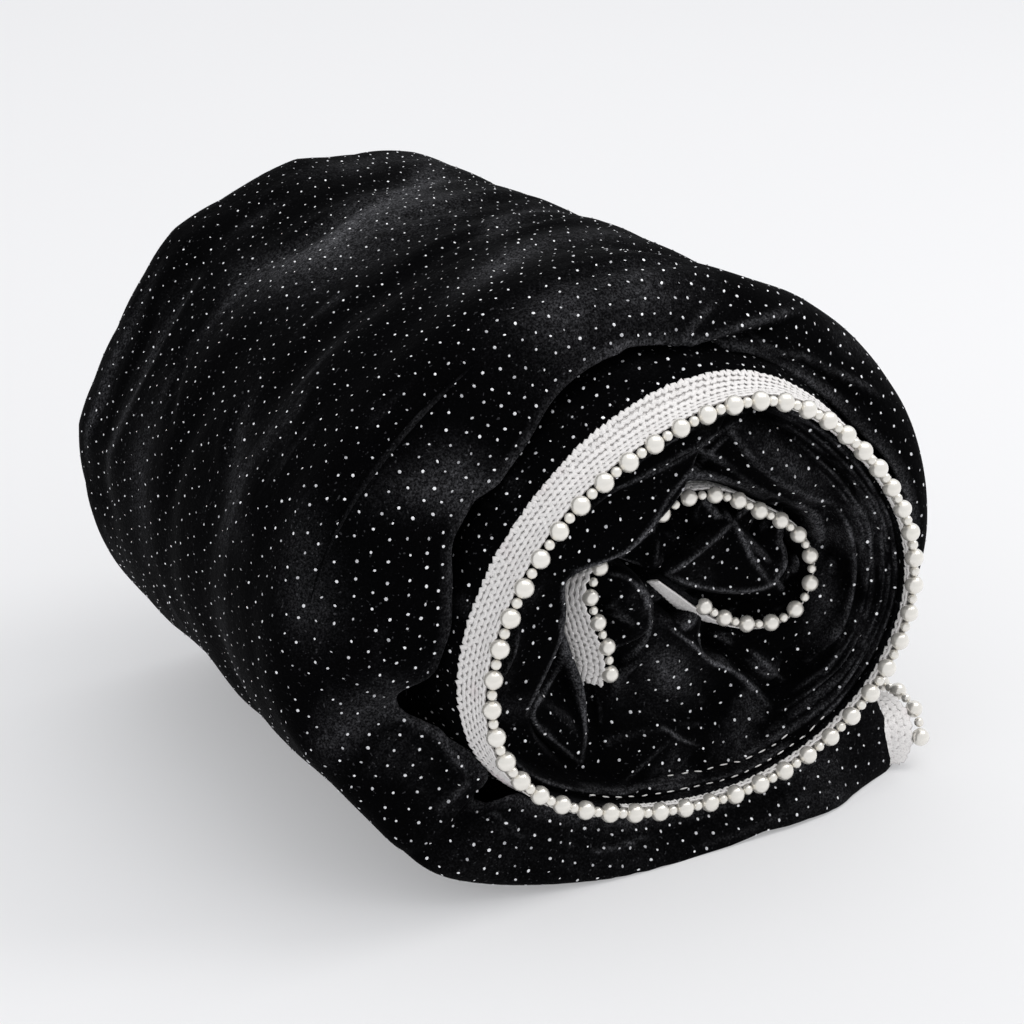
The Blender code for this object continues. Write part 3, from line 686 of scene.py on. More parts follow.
def pull_depth(angles, y):
    """Depth of the small pulls at an angle and a y, with a slight ridge at each side."""
    total = np.zeros(y.shape)
    for depth, half, rows in PULLS:
        away, end = near_stroke(angles, y, rows, 14, 3)
        s = away / half
        total += depth * (0.35 + 0.65 * end) * (np.exp(-s ** 2) - 0.45 * np.exp(-(s - 2.1) ** 2))
    return total


def wrap_grid(angles):
    """Outer face of the outer turn from its lip to its back edge, with even rows."""
    lip_r = around(LIP_ROWS, 1, angles)
    lip_y = around(LIP_ROWS, 2, angles)
    depth = around(LIP_ROWS, 3, angles)
    bulge = around(LIP_ROWS, 4, angles)
    rows = []
    start = lip_y + depth
    for share in np.linspace(0, 1, 40)[:-1]:
        turn = share * math.pi / 2
        y = lip_y + depth * (1 - math.cos(turn))
        body = body_radius(angles, y)
        ahead = bulge * math.sin(share ** 1.5 * math.pi)
        rows.append(polar(angles, lip_r + (body - lip_r) * math.sin(turn), y - ahead))
    for share in np.linspace(0, 1, 120):
        y = start + (BODY_BACK_Y - start) * share
        rows.append(polar(angles, body_radius(angles, y), y))
    for share in (0.12, 0.25, 0.38, 0.5, 0.62, 0.74, 0.87, 1):
        turn = share * math.pi / 2
        y = np.full_like(angles, BODY_BACK_Y + BACK_DEPTH * math.sin(turn))
        back = body_radius(angles, BODY_BACK_Y) - BACK_ROUND * (1 - math.cos(turn))
        rows.append(polar(angles, back, y))
    grid = even_rows(np.array(rows), WRAP_ROWS)
    normal = normals(grid, False, True)
    soft = 0.8 * ripple(grid * [1, 2.0, 1], 0.022, 1) + 0.35 * ripple(grid * [1, 1.8, 1], 0.06, 2)
    sunk = pull_depth(turn_of(grid), grid[..., 1]) + tuck_depth(angles, grid)
    relief, light = creases(grid, CREASES)
    seen = (picture(grid)[2] * normal).sum(-1) > 0
    grid = grid + normal * (soft + relief * seen - sunk)[..., None]
    grid[..., 2] = np.maximum(grid[..., 2], 0)
    # The second value is the painted sheen of the creases, kept to the parts that face the eye.
    return grid, light * seen


def towards_eye():
    """Direction from the camera's target to the camera."""
    turn, rise = math.radians(CAMERA_TURN), math.radians(CAMERA_RISE)
    return np.array([-math.sin(turn) * math.cos(rise), -math.cos(turn) * math.cos(rise), math.sin(rise)])


def picture(points):
    """Where working points fall in the picture, and the way from each to the eye."""
    turn = math.radians(CAMERA_TURN)
    back = towards_eye()
    right = np.array([math.cos(turn), -math.sin(turn), 0])
    up = np.cross(back, right)
    eye = np.array(CAMERA_TARGET) + back * CAMERA_REACH
    way = built(points) - eye
    depth = -(way @ back)
    size = 1024 * CAMERA_LENS / CAMERA_SENSOR
    return 512 + size * (way @ right) / depth, 512 - size * (way @ up) / depth, -way


def creases(grid, table, tight=1.0):
    """Relief of the creases drawn as they are seen, and the painted sheen along them where the pile catches
    the light.
    """
    x, y, _ = picture(grid)
    uneven = 0.75 + 0.5 * ripple(grid, 0.11, 41)
    relief = np.zeros(x.shape)
    light = np.zeros(x.shape)
    for height, half, strength, rows in table:
        path = along([(a, b, 0) for a, b in rows], 4 * len(rows))
        away, _, place = stroke_distance(x, y, path)
        last = len(path) - 1
        end = 0.3 + 0.7 * np.clip(np.minimum(place, last - place) / 4, 0, 1)
        s = away / (half * tight)
        relief += height * end * np.exp(-s ** 1.5)
        narrow = 2.0 if height else 1.0
        # Painted sheen: a pale line along each crease, narrower on the raised and sunk ones.
        light += strength * end * np.exp(-(s * narrow) ** 2) * uneven
    return relief, light


def even_rows(grid, count):
    """The same surface with its rows at even distances along each column."""
    run = run_along(grid)
    made = np.zeros((count, grid.shape[1], 3))
    for column in range(grid.shape[1]):
        at = np.linspace(0, run[-1, column], count)
        for axis in range(3):
            made[:, column, axis] = np.interp(at, run[:, column], grid[:, column, axis])
    return made


def tuck_depth(angles, grid):
    """Depth of the valleys that run back from the tucks in the lip."""
    run = run_along(grid)
    total = np.zeros(grid.shape[:2])
    for angle, half, depth, reach in TUCKS:
        off = angle_off(angles, angle)[None, :] / (half * (1 + run / reach * 0.6))
        valley = np.exp(-np.abs(off) ** 1.5) - 0.35 * np.exp(-(np.abs(off) - 2.0) ** 2)
        total += depth * valley * np.exp(-(run / reach) ** 1.6)
    return total


def walled(grid, wall):
    """Closed profile rows: outer face, round back edge, inner face, round front edge."""
    normal = normals(grid, False, True)
    inner = grid - normal * wall
    middle = grid - normal * wall / 2
    keep = np.unique(np.concatenate([np.arange(0, 16), np.arange(16, len(grid), 6), [len(grid) - 1]]))
    rows = list(grid)
    for end, ahead in ((-1, -2), (0, 1)):
        go = grid[end] - grid[ahead]
        go = go / np.linalg.norm(go, axis=-1, keepdims=True)
        arc = []
        for k in range(1, 5):
            t = math.pi * k / 5
            arc.append(middle[end] + wall / 2 * (normal[end] * math.cos(t) + go * math.sin(t)))
        if end == -1:
            rows += arc + list(inner[keep][::-1])
        else:
            rows += arc[::-1]
    return np.array(rows)


def painted_sheen_strokes(angles, y):
    """Painted sheen at an angle and a y of the outer turn, where the pile catches the light."""
    total = np.zeros(y.shape)
    for strength, half, rows in PAINTED_SHEEN_STROKES:
        away, end = near_stroke(angles, y, rows, 16, 4)
        total += strength * (0.25 + 0.75 * end) * np.exp(-(away / half) ** 2)
    return total


def make_outer_turn(velvet):
    """The outermost turn, with painted sheen marked where the pile catches the light."""
    face, light = wrap_grid(full_circle(372))
    profile = walled(face, WRAP_WALL)
    mark = np.zeros(profile.shape[:2])
    # Painted sheen: crease lines, strokes and a faint pale band low at the front, broken up by noise.
    cloud = 0.65 + 0.6 * ripple(face, 0.05, 31)
    painted_sheen_band = np.clip((-98 - face[..., 1]) / 6, 0, 1) * np.clip(-(face[..., 2] - AXIS_Z + 30) / 20, 0, 1)
    mark[:len(face)] = light + painted_sheen_strokes(turn_of(face), face[..., 1]) * cloud * 1.15 + 0.05 * painted_sheen_band * cloud
    # Painted sheen: a pale line along the lip's edge.
    edge = 0.45 + 0.45 * ripple(face[0], 0.06, 33)
    for row, strength in ((-1, 0.75), (-2, 0.55), (-3, 0.25), (0, 0.5), (1, 0.22), (2, 0.1)):
        mark[row] += strength * edge
    shape = new_shape()
    lay(shape, profile, mark, True, True)
    return finish_piece("outer_turn", shape, velvet, ["outer_wrap"]), face


# The second turn and its border.
def ring_rows(rows, count):
    """Grid on the second turn's outer face, a row at each y."""
    angles = full_circle(count)
    return np.array([polar(angles, ring_radius(angles, y), y) for y in rows])


def make_second_turn(velvet):
    """The turn that stands out in front of the lip and carries the border."""
    face = ring_rows(np.linspace(EDGE_Y, TURN_BACK_Y, 34), 300)
    normal = normals(face, False, True)
    face = face + normal * (0.22 * ripple(face, 0.09, 5))[..., None]
    profile = walled(face, PLY_WALL)
    shape = new_shape()
    # Faint painted sheen on the turn's ridges.
    lay(shape, profile, 0.12 * painted_ridge_sheen(profile, 1, 0.1, 0.6, True, True), True, True)
    return finish_piece("second_turn", shape, velvet, ["bordered_turn"]), face


def sample(grid, row, column, closed):
    """Point of a fine grid at fractional rows and columns."""
    rows, columns = grid.shape[:2]
    if closed:
        column = np.mod(column, columns)
        grid = np.concatenate([grid, grid[:, :1]], axis=1)
    else:
        column = np.clip(column, 0, columns - 1.001)
    row = np.clip(row, 0, rows - 1.001)
    r0 = row.astype(int)
    c0 = column.astype(int)
    fr = (row - r0)[..., None]
    fc = (column - c0)[..., None]
    top = grid[r0, c0] * (1 - fc) + grid[r0, c0 + 1] * fc
    low = grid[r0 + 1, c0] * (1 - fc) + grid[r0 + 1, c0 + 1] * fc
    return top * (1 - fr) + low * fr


def make_braid(name, surface, closed, nodes, finish, flip=1.0, cords=7, stitch=2.75, wide=TAPE_WIDTH):
    """Knitted border tape: cords that swing towards and away from each other and leave small eyes between."""
    out = normals(surface, False, closed) * flip
    middle = surface[surface.shape[0] // 2]
    steps = np.linalg.norm(np.diff(middle, axis=0), axis=1)
    length = steps.sum() + (np.linalg.norm(middle[0] - middle[-1]) if closed else 0)
    swings = int(round(length / stitch))
    count = swings * 4
    columns = surface.shape[1]
    last = 0 if closed else 1
    place = np.linspace(0, columns - last, count + last, endpoint=not closed)
    phase = np.linspace(0, swings * 2 * math.pi, len(place), endpoint=not closed)
    shape = new_shape()
    pitch = wide / cords
    chance = np.random.default_rng(cords)
    for cord in range(cords):
        widest = 0.23 if cord < cords - 1 else 0.38
        swing = widest * np.repeat(chance.uniform(0.3, 1.5, swings + 1), 4)[:len(place)]
        late = chance.normal(0, 0.26, len(place))
        across = (cord + 0.5 + swing * np.sin(phase + cord * math.pi * 0.8 + late)) / cords
        row = across * (surface.shape[0] - 1)
        centre = sample(surface, row, place, closed)
        up = sample(out, row, place, closed)
        lift = 0.66 + 0.14 * np.sin(phase * 2 + cord)
        centre = centre + up * lift[:, None]
        go = slope_of(centre, 0, closed)
        side = np.cross(go, up)
        side /= np.linalg.norm(side, axis=1, keepdims=True)
        rows = []
        for k in range(6):
            t = 2 * math.pi * k / 6
            rows.append(centre + side * pitch * 0.46 * math.cos(t) + up * 0.24 * math.sin(t))
        lay(shape, np.array(rows), None, True, closed)
    bmesh.ops.remove_doubles(shape, verts=shape.verts[:], dist=1e-7)
    if not closed:
        close_ends(shape)
    row = np.linspace(0.3, surface.shape[0] - 1.5, 3)[:, None] + place * 0
    column = place + row * 0
    backing = sample(surface, row, column, closed) + sample(out, row, column, closed) * 0.12
    lay(shape, backing, None, False, closed)
    return finish_piece(name, shape, finish, nodes)


def make_pearls(name, centres, small_centres, nodes, finish, forms, share=1.0):
    """A string of large and small pearls, each turned and sized a little differently."""
    shape = new_shape()
    for form, spots, size in ((forms[0], centres, PEARL_R), (forms[1], small_centres, SMALL_PEARL_R)):
        places = []
        for k, spot in enumerate(spots):
            turn = Matrix.Rotation(k * 2.4, 4, "Z") @ Matrix.Rotation(k * 1.7, 4, "X")
            grow = size * share * MM * (1 + 0.025 * math.sin(k * 5.1))
            places.append(Matrix.Translation(built(spot)) @ turn @ Matrix.Scale(grow, 4))
        stamp(shape, form, places)
    return finish_piece(name, shape, finish, nodes, outward=False)


def spaced(path, closed, count, offset=0.0):
    """Evenly spaced centres for large pearls, and the small ones between them."""
    points = np.concatenate([path, path[:1]]) if closed else path
    keys = run_along(points)
    pitch = keys[-1] / count if closed else keys[-1] / (count - 1)
    large = (np.arange(count) + offset) * pitch
    small = large[: count if closed else count - 1] + pitch / 2

    def at(marks):
        marks = np.mod(marks, keys[-1]) if closed else marks
        return np.stack([np.interp(marks, keys, points[:, k]) for k in range(3)], -1)

    return at(large), at(small)


def make_ring_border(braid, pearl, forms):
    """The second turn's border: its braid outside and just inside the edge, and its pearls."""
    tape = ring_rows(np.linspace(PEARL_Y + 0.8, PEARL_Y + 0.8 + TAPE_WIDTH, 12), 720)
    outside = make_braid("ring_braid", tape, True, ["ring_tape"], braid)
    angles = np.linspace(-108, 62, 330)
    inner = ring_radius(angles, EDGE_Y) - PLY_WALL + 0.2
    tape = np.array([polar(angles, inner, y) for y in np.linspace(-114.2, -112.0, 5)])
    inside = make_braid("ring_braid_inside", tape, False, [], braid, flip=-1.0, cords=2, wide=2.4)
    angles = np.linspace(0, 360, 240, endpoint=False)
    path = polar(angles, ring_radius(angles, EDGE_Y) - PLY_WALL / 2, PEARL_Y)
    large, small = spaced(path, True, PEARL_COUNT, 0.3)
    return [outside, inside, make_pearls("ring_beads", large, small, ["ring_pearls"], pearl, forms)]


# The folds inside the open end.
def ply_wave(angles, inset):
    """How far a thin ply strays inwards from its inset."""
    return 0.45 * np.sin(angles * 0.11 + inset * 3) * min(inset / 4, 1)


def fold_height(x, z, share):
    """How far the cloth inside the open end stands out towards the front."""
    rise = np.clip((share - 0.72) / 0.25, 0, 1)
    height = CLOTH_HEIGHT_DEEP + eased(CLOTH_HEIGHT_RIM - CLOTH_HEIGHT_DEEP, rise)
    strokes = list(FOLDS)
    for first, last, inset, top in INNER_PLIES:
        angles = np.linspace(first, last, 16)
        path = polar(angles, ring_radius(angles, EDGE_Y) - PLY_WALL - inset - ply_wave(angles, inset), 0.0)
        ends = np.clip(np.minimum(np.arange(16), 15 - np.arange(16)) / 3, 0, 1)
        rows = [(p[0], p[2], top - 5 * (1 - e)) for p, e in zip(path, ends)]
        strokes.append((1.4, 5, 2.4, 4, rows))
    for left, left_drop, right, right_drop, rows in strokes:
        path = along(rows, 4 * len(rows))
        away, side, place = stroke_distance(x, z, path)
        crest = np.interp(place, np.arange(len(path)), path[:, 2])
        wide = np.where(side > 0, left, right)
        drop = np.where(side > 0, left_drop, right_drop)
        s = away / wide
        fall = drop * (1 - np.sqrt(np.clip(1 - np.minimum(s, 1) ** 2, 0, 1)))
        fold = np.where(s < 1, crest - fall, crest - drop - (s - 1) * drop * 1.5)
        gap = np.clip(0.5 + (fold - height) / 1.2, 0, 1)
        height = height * (1 - gap) + fold * gap + 0.3 * gap * (1 - gap)
    return height


def make_inner_folds(velvet):
    """One sheet for the folded layers that show inside the second turn."""
    angles = full_circle(500)
    shares = np.concatenate([[0.004], np.linspace(0.012, 0.8, 74), np.linspace(0.806, 1, 44)])
    rim = ring_radius(angles, EDGE_Y) - PLY_WALL - 0.25
    radius = shares[:, None] * rim[None, :]
    inset = rim[None, :] - radius
    everywhere = np.broadcast_to(angles, radius.shape)
    flat = polar(everywhere, radius, 0.0)
    height = fold_height(flat[..., 0], flat[..., 2], np.broadcast_to(shares[:, None], radius.shape))
    for _ in range(2):
        beside = np.roll(height, 1, 1) + np.roll(height, -1, 1)
        padded = np.concatenate([height[:1], height, height[-1:]])
        height = height * 0.5 + (beside + padded[:-2] + padded[2:]) * 0.125
    relief, light = creases(polar(everywhere, radius, -height), FOLD_CREASES, 0.75)
    height = np.minimum(height + relief, -EDGE_Y - 1.0)
    face = flat.copy()
    face[..., 1] = -height
    face[..., 1] += 0.5 * ripple(face, 0.05, 8) + 0.12 * ripple(face, 0.16, 9)
    hidden_rim = face[-1].copy()
    hidden_rim[:, 1] = INNER_BACK_Y
    grid = np.concatenate([face, hidden_rim[None]])
    shape = new_shape()
    # Painted sheen: a thin pale line along each ply's edge, added to the creases' sheen.
    for first, last, edge, _ in INNER_PLIES:
        off = np.abs(angle_off(angles, (first + last) / 2))
        uneven = 0.45 + 0.9 * ripple(face, 0.13, int(edge * 10))
        within = np.clip(((last - first) / 2 - off) / 12, 0, 1) * uneven
        line = np.exp(-((inset - edge - ply_wave(angles, edge)) / 0.4) ** 2)
        light = light + 0.42 * np.clip(within, 0, 1) * line
    inwards = np.clip((inset - 8) / 8, 0, 1)
    # The mark is painted sheen: crease and ply lines, and ridges away from the rim.
    mark = 1.3 * np.concatenate([light, light[-1:] * 0])
    mark += 0.5 * painted_ridge_sheen(grid, 2, 0.4, 1.8, False, True) * np.concatenate([inwards, inwards[-1:] * 0])
    verts = lay(shape, grid, mark, False, True)
    close_middle(shape, verts, grid)
    piece = finish_piece("inner_folds", shape, velvet, [
        "fold_left", "fold_upper_right", "fold_bottom", "fold_lower_left", "fold_tent", "fold_tongue",
        "fold_rolled", "ply_left", "ply_right",
    ], outward=False)
    turn_to(piece, -1)
    return piece, face


def close_middle(shape, verts, grid):
    """Draw the innermost ring of a round sheet together."""
    middle = Vector(built(grid[0].mean(axis=0)))
    for vert in verts[: grid.shape[1] + 1]:
        vert.co = middle
    bmesh.ops.remove_doubles(shape, verts=shape.verts[:], dist=1e-7)


def make_edge_ply(name, rows, tail, side_sign, leans, finishes, forms, nodes, tip=1.0):
    """An inner turn's thin edge with its own bit of the border, which leans outwards behind its pearls."""
    velvet, braid, pearls = finishes
    path = along([(x, y, z) for x, z, y in rows + tail], 160)
    go = np.gradient(path, axis=0)
    go[:, 1] = 0
    go /= np.linalg.norm(go, axis=1, keepdims=True)
    side = np.stack([-go[:, 2], go[:, 1] * 0, go[:, 0]], -1) * side_sign
    share = np.linspace(0, 1, 160)
    lean = np.radians(smooth([row[0] for row in leans], [row[1] for row in leans], share))[:, None]
    back = np.array([0, 1.0, 0]) * np.cos(lean) + side * np.sin(lean)
    out = side * np.cos(lean) - np.array([0, 1.0, 0]) * np.sin(lean)
    front = path + back * 1.0
    reach = TAPE_WIDTH + 3.0
    shares = np.linspace(0, 1, 12)
    rows_out = [front + back * reach * s + out * EDGE_HALF for s in shares]
    rows_in = [front + back * reach * s - out * EDGE_HALF for s in shares[::-1]]
    nose = [front - back * EDGE_HALF * math.sin(t) - out * EDGE_HALF * math.cos(t)
            for t in (0.25 * math.pi, 0.5 * math.pi, 0.75 * math.pi)]
    grid = np.array(rows_out + rows_in + nose)
    shape = new_shape()
    lay(shape, grid, None, True, False)
    bmesh.ops.remove_doubles(shape, verts=shape.verts[:], dist=1e-7)
    close_ends(shape)
    turn = finish_piece(name + "_edge", shape, velvet, [nodes[0]])
    wide = TAPE_WIDTH * np.interp(share, [0.76, 1], [1, tip])[:, None]
    tape = np.array([front + back * wide * s + out * (EDGE_HALF + 0.15) for s in np.linspace(0, 1, 8)])
    facing = np.sign((normals(tape) * out[None]).sum(-1).mean())
    strip = make_braid(name + "_braid", tape, False, [nodes[1]], braid, flip=facing)
    large, small = spaced(along([(x, y, z) for x, z, y in rows], 120), False, len(rows))
    beads = make_pearls(name + "_beads", large, small, [nodes[2]], pearls, forms, 0.9)
    return turn, strip, beads


def make_stitches(face, finish):
    """Running stitches that show along the plies at the foot of the open end."""
    form = sphere_form("stitch_form", 6, 4)
    shape = new_shape()
    flat = face.reshape(-1, 3)
    x, y, to_eye = picture(flat)
    far = np.linalg.norm(to_eye, axis=1) * 400
    nearer = far - far.max()
    for rows in STITCH_ROWS:
        path = along([(a, b, 0) for a, b in rows], 400)
        length = np.linalg.norm(np.diff(path, axis=0), axis=1).sum()
        count = int(length / STITCH_GAP)
        spots = []
        for k in range(count * 2):
            at = path[int((k // 2 + (0.2 if k % 2 == 0 else 0.78)) / count * 399)]
            away = np.hypot(x - at[0], y - at[1])
            spots.append(flat[int((away + (away < STITCH_CATCH) * nearer).argmin())])
        for a, b in zip(spots[::2], spots[1::2]):
            way = Vector(b - a)
            if not 0.8 < way.length < 6:
                continue
            turn = way.to_track_quat("X", "Z").to_matrix().to_4x4()
            grow = Matrix.Diagonal((way.length / 2 * MM, 0.24 * MM, 0.24 * MM, 1))
            lift = np.array([0, -0.35, 0.1])
            stamp(shape, form, [Matrix.Translation(built((a + b) / 2 + lift)) @ turn @ grow])
    return finish_piece("ply_stitches", shape, finish, [], outward=False)


def fold_dots(face, seed):
    """Places for glitter dots on the folds, in staggered rows as seen from the open end."""
    chance = np.random.default_rng(seed)
    normal = normals(face, False, True)
    flat = face[..., [0, 2]].reshape(-1, 2)
    places = []
    for j in range(-14, 15):
        for i in range(-16, 17):
            even = np.array([AXIS_X + (i + 0.5 * (j % 2)) * 6.3, AXIS_Z - 12 + j * 5.4])
            spot = even + chance.normal(0, 0.8, 2)
            away = ((flat - spot) ** 2).sum(1)
            near = int(away.argmin())
            facing = normal.reshape(-1, 3)[near]
            if away[near] < 1.0 and abs(facing[1]) > 0.45:
                facing = facing if facing[1] < 0 else -facing
                places.append((face.reshape(-1, 3)[near], facing))
    return places


# The hidden turns where they show at the front and the back.
def make_hidden_turns(velvet):
    """Layers that show between the outer turn's lip and the second turn."""
    angles = full_circle(220)
    inner = ring_radius(angles, TURN_BACK_Y) + 0.6
    lip_r = around(LIP_ROWS, 1, angles)
    outer = np.maximum(body_radius(angles, np.full_like(angles, -84.0)) - 9.0, lip_r + 1.0)
    outer = np.maximum(outer, inner + 2.0)
    shares = np.linspace(0, 1, 26)
    radius = inner + (outer - inner) * shares[:, None]
    layer = np.abs(np.sin(shares * math.pi * 2.5))[:, None]
    y = -78.0 - 3.0 * layer - 1.5 * np.sin(np.radians(angles * 3))[None, :] * layer
    front = polar(np.broadcast_to(angles, radius.shape), radius, y)
    shape = new_shape()
    # Faint painted sheen on the layers' ridges.
    lay(shape, front, 0.4 * painted_ridge_sheen(front, 1, 0.1, 1.0, False, True), False, True)
    piece = finish_piece("hidden_turns", shape, velvet, [], outward=False)
    turn_to(piece, -1)
    return piece


def make_back_layers(velvet):
    """The roll's closed end, with the turns' edges wound round it."""
    angles = full_circle(260)
    reach = body_radius(angles, np.full_like(angles, BODY_BACK_Y)) - 14.0
    shares = np.concatenate([[0.003], np.linspace(0.02, 1, 100)])
    radius = shares[:, None] * reach[None, :]
    turn = shares[:, None] * 5.2 - angles[None, :] / 360.0
    fold = np.abs(np.mod(turn, 1.0) - 0.5) * 2
    y = 91.5 - 7.5 * fold ** 3 - 1.5 * (1 - shares[:, None]) ** 2
    back = polar(np.broadcast_to(angles, radius.shape), radius, y)
    back[..., 1] += 0.7 * ripple(back, 0.06, 12)
    back[..., 2] = np.maximum(back[..., 2], 3.4)
    shape = new_shape()
    # Painted sheen on the ridges of the wound edges.
    verts = lay(shape, back, 0.5 * painted_ridge_sheen(back, 1, 0.1, 0.9, False, True), False, True)
    close_middle(shape, verts, back)
    piece = finish_piece("back_layers", shape, velvet, ["roll_core"], outward=False)
    turn_to(piece, 1)
    return piece, back


# The outer end.
def pad_section(y):
    """Even points once round the outer end at a y, which leaves the roll's foot free."""
    keys = [row[0] for row in PAD_ROWS]
    reach = float(smooth(keys, [row[1] for row in PAD_ROWS], y))
    height = float(smooth(keys, [row[2] for row in PAD_ROWS], y))
    body_y = max(y, -95.0)
    turn = np.linspace(301, 322, 16)
    upper = polar(turn, body_radius(turn, np.full_like(turn, body_y)) + PAD_CLEAR, y)
    upper[:, 2] = np.clip(upper[:, 2], 1.6, height - 1)
    start = upper[:10]
    top = upper[10:]
    share = np.radians(np.linspace(-88, 88, 18))
    nose = np.stack([reach - height / 2 + height / 2 * np.cos(share), np.full(18, y),
                     height / 2 + height / 2 * np.sin(share)], -1)
    lower = start * [1, 1, 0]
    loop = np.concatenate([lower, nose, top[::-1], start[::-1][:9]])
    closed = np.concatenate([loop, loop[:1]])
    keys = run_along(closed)
    at = np.linspace(0, keys[-1], 88, endpoint=False)
    return np.stack([np.interp(at, keys, closed[:, k]) for k in range(3)], -1)


def make_end_flap(velvet):
    """The cloth's outer end: a soft flattened pad with rounded ends."""
    sections = []
    for share in np.linspace(0.15, 1, 7):
        turn = share * math.pi / 2
        whole = pad_section(PAD_FRONT_Y)
        middle = whole.mean(axis=0) * [1, 1, 0] + [0, 0, 8]
        ring = middle + (whole - middle) * math.sin(turn)
        ring[:, 1] = PAD_FRONT_Y - 3.0 * math.cos(turn)
        ring[:, 2] = np.maximum(ring[:, 2], 0)
        sections.append(ring)
    for y in np.linspace(PAD_FRONT_Y + 1, 83, 104):
        sections.append(pad_section(y))
    for share in np.linspace(0.1, 0.85, 6):
        turn = share * math.pi / 2
        whole = pad_section(83.0)
        middle = whole.mean(axis=0)
        ring = middle + (whole - middle) * math.cos(turn)
        ring[:, 1] = 83.0 + 3.0 * math.sin(turn)
        ring[:, 2] = np.maximum(ring[:, 2], 0)
        sections.append(ring)
    grid = np.array(sections)
    soft = 0.5 * ripple(grid, 0.045, 21)
    grid = grid + normals(grid, False, True) * np.minimum(soft, 0.1)[..., None]
    grid[..., 2] = np.maximum(grid[..., 2], 0)
    shape = new_shape()
    # Faint painted sheen on the pad's ridges.
    lay(shape, grid, 0.4 * painted_ridge_sheen(grid, 1, 0.15, 0.8, False, True), False, True)
    bmesh.ops.remove_doubles(shape, verts=shape.verts[:], dist=1e-7)
    close_ends(shape)
    return finish_piece("end_flap", shape, velvet, ["end_pad"]), grid


def make_hem(braid, pearls, forms):
    """The border along the cloth's outer end."""
    rows = along(HEM_ROWS, 220)
    beads = rows[:, :3]
    inner = rows[:, 3:]
    across = inner - beads
    across /= np.linalg.norm(across, axis=1, keepdims=True)
    outer = beads + across * (PEARL_R + 0.5)
    tape = np.array([outer + (inner - outer) * s for s in np.linspace(0, 1, 8)])
    strip = make_braid("hem_braid", tape, False, ["hem_tape"], braid, flip=-1.0, cords=4)
    beads = beads[9:]
    length = np.linalg.norm(np.diff(beads, axis=0), axis=1).sum()
    large, small = spaced(beads, False, int(round(length / 9.6)) + 1)
    return strip, make_pearls("hem_beads", large, small, ["hem_pearls"], pearls, forms)


# Glitter.
def dot_places(grid, closed, seed, along_gap=5.2, round_gap=6.0, keep=None):
    """Staggered places for glitter dots over a grid of cloth, a little out of line."""
    chance = np.random.default_rng(seed)
    normal = normals(grid, False, closed)
    rows, columns = grid.shape[:2]
    run = run_along(grid)
    middle = grid[rows // 2]
    girth = np.linalg.norm(np.diff(middle, axis=0), axis=-1).sum()
    if closed:
        girth += np.linalg.norm(middle[0] - middle[-1])
    around_count = int(girth / round_gap)
    places = []
    for j in range(int(run[-1].max() / along_gap)):
        for i in range(around_count):
            u = (i + 0.5 * (j % 2) + chance.normal(0, 0.09)) / around_count
            v = (j + 0.5 + chance.normal(0, 0.1)) * along_gap
            column = int(u * columns) % columns
            if v > run[-1, column] - 0.8:
                continue
            row = int(np.searchsorted(run[:, column], v))
            spot = grid[row, column]
            face = normal[row, column]
            if keep and not keep(spot, face):
                continue
            places.append((spot, face))
    return places


def dot_matrices(places, seed):
    """Place, lean and size of each glitter dot; those nearer the open end are a little larger."""
    chance = np.random.default_rng(seed)
    found = []
    for spot, face in places:
        lean = Vector(face) + Vector(chance.normal(0, 0.22, 3))
        turn = lean.to_track_quat("Z", "Y").to_matrix().to_4x4()
        spin = Matrix.Rotation(chance.uniform(0, 6.28), 4, "Z")
        near = min(max((-50 - spot[1]) / 45, 0), 1)
        wide = chance.uniform(0.32, 0.50) * (0.9 + 0.35 * near)
        grow = Matrix.Diagonal((wide * MM, wide * chance.uniform(0.7, 1.0) * MM, wide * MM, 1))
        place = Matrix.Translation(built(np.asarray(spot) + np.asarray(face) * 0.12))
        found.append(place @ turn @ spin @ grow)
    return found


def make_dots(name, sets, finish):
    """All the glitter dots in one piece, each a low six-sided cone."""
    shape = new_shape()
    made = bmesh.ops.create_circle(shape, cap_ends=True, cap_tris=True, segments=6, radius=1.0)
    for vert in made["verts"]:
        vert.co.z = 0.34 if vert.co.length < 0.1 else 0.0
    form = small_form("dot_form", shape)
    shape = new_shape()
    for k, places in enumerate(sets):
        stamp(shape, form, dot_matrices(places, 40 + k))
    return finish_piece(name, shape, finish, [], outward=False)


# Finishes.
def settle(node, values):
    """Give a node's inputs their values."""
    for key, value in values.items():
        node.inputs[key].default_value = value


def material(name):
    """New material with its tree, its shader and a place on the object."""
    made = bpy.data.materials.new(name)
    made.use_nodes = True
    tree = made.node_tree
    return made, tree, tree.nodes["Principled BSDF"], tree.nodes.new("ShaderNodeTexCoord").outputs["Object"]


def noise_node(tree, vector, scale, detail=2.0, roughness=0.5, distortion=0.0):
    """Noise at a place, from 0 to 1."""
    made = tree.nodes.new("ShaderNodeTexNoise")
    settle(made, {"Scale": scale, "Detail": detail, "Roughness": roughness, "Distortion": distortion})
    tree.links.new(vector, made.inputs["Vector"])
    return made.outputs["Fac"]


def stretch(tree, vector, scale):
    """Place scaled along each axis."""
    made = tree.nodes.new("ShaderNodeMapping")
    settle(made, {"Scale": scale})
    tree.links.new(vector, made.inputs["Vector"])
    return made.outputs["Vector"]


def ranged(tree, value, low, high, to_low=0.0, to_high=1.0):
    """A value moved smoothly from one range to another."""
    made = tree.nodes.new("ShaderNodeMapRange")
    made.interpolation_type = "SMOOTHSTEP"
    settle(made, {"From Min": low, "From Max": high, "To Min": to_low, "To Max": to_high})
    tree.links.new(value, made.inputs["Value"])
    return made.outputs["Result"]


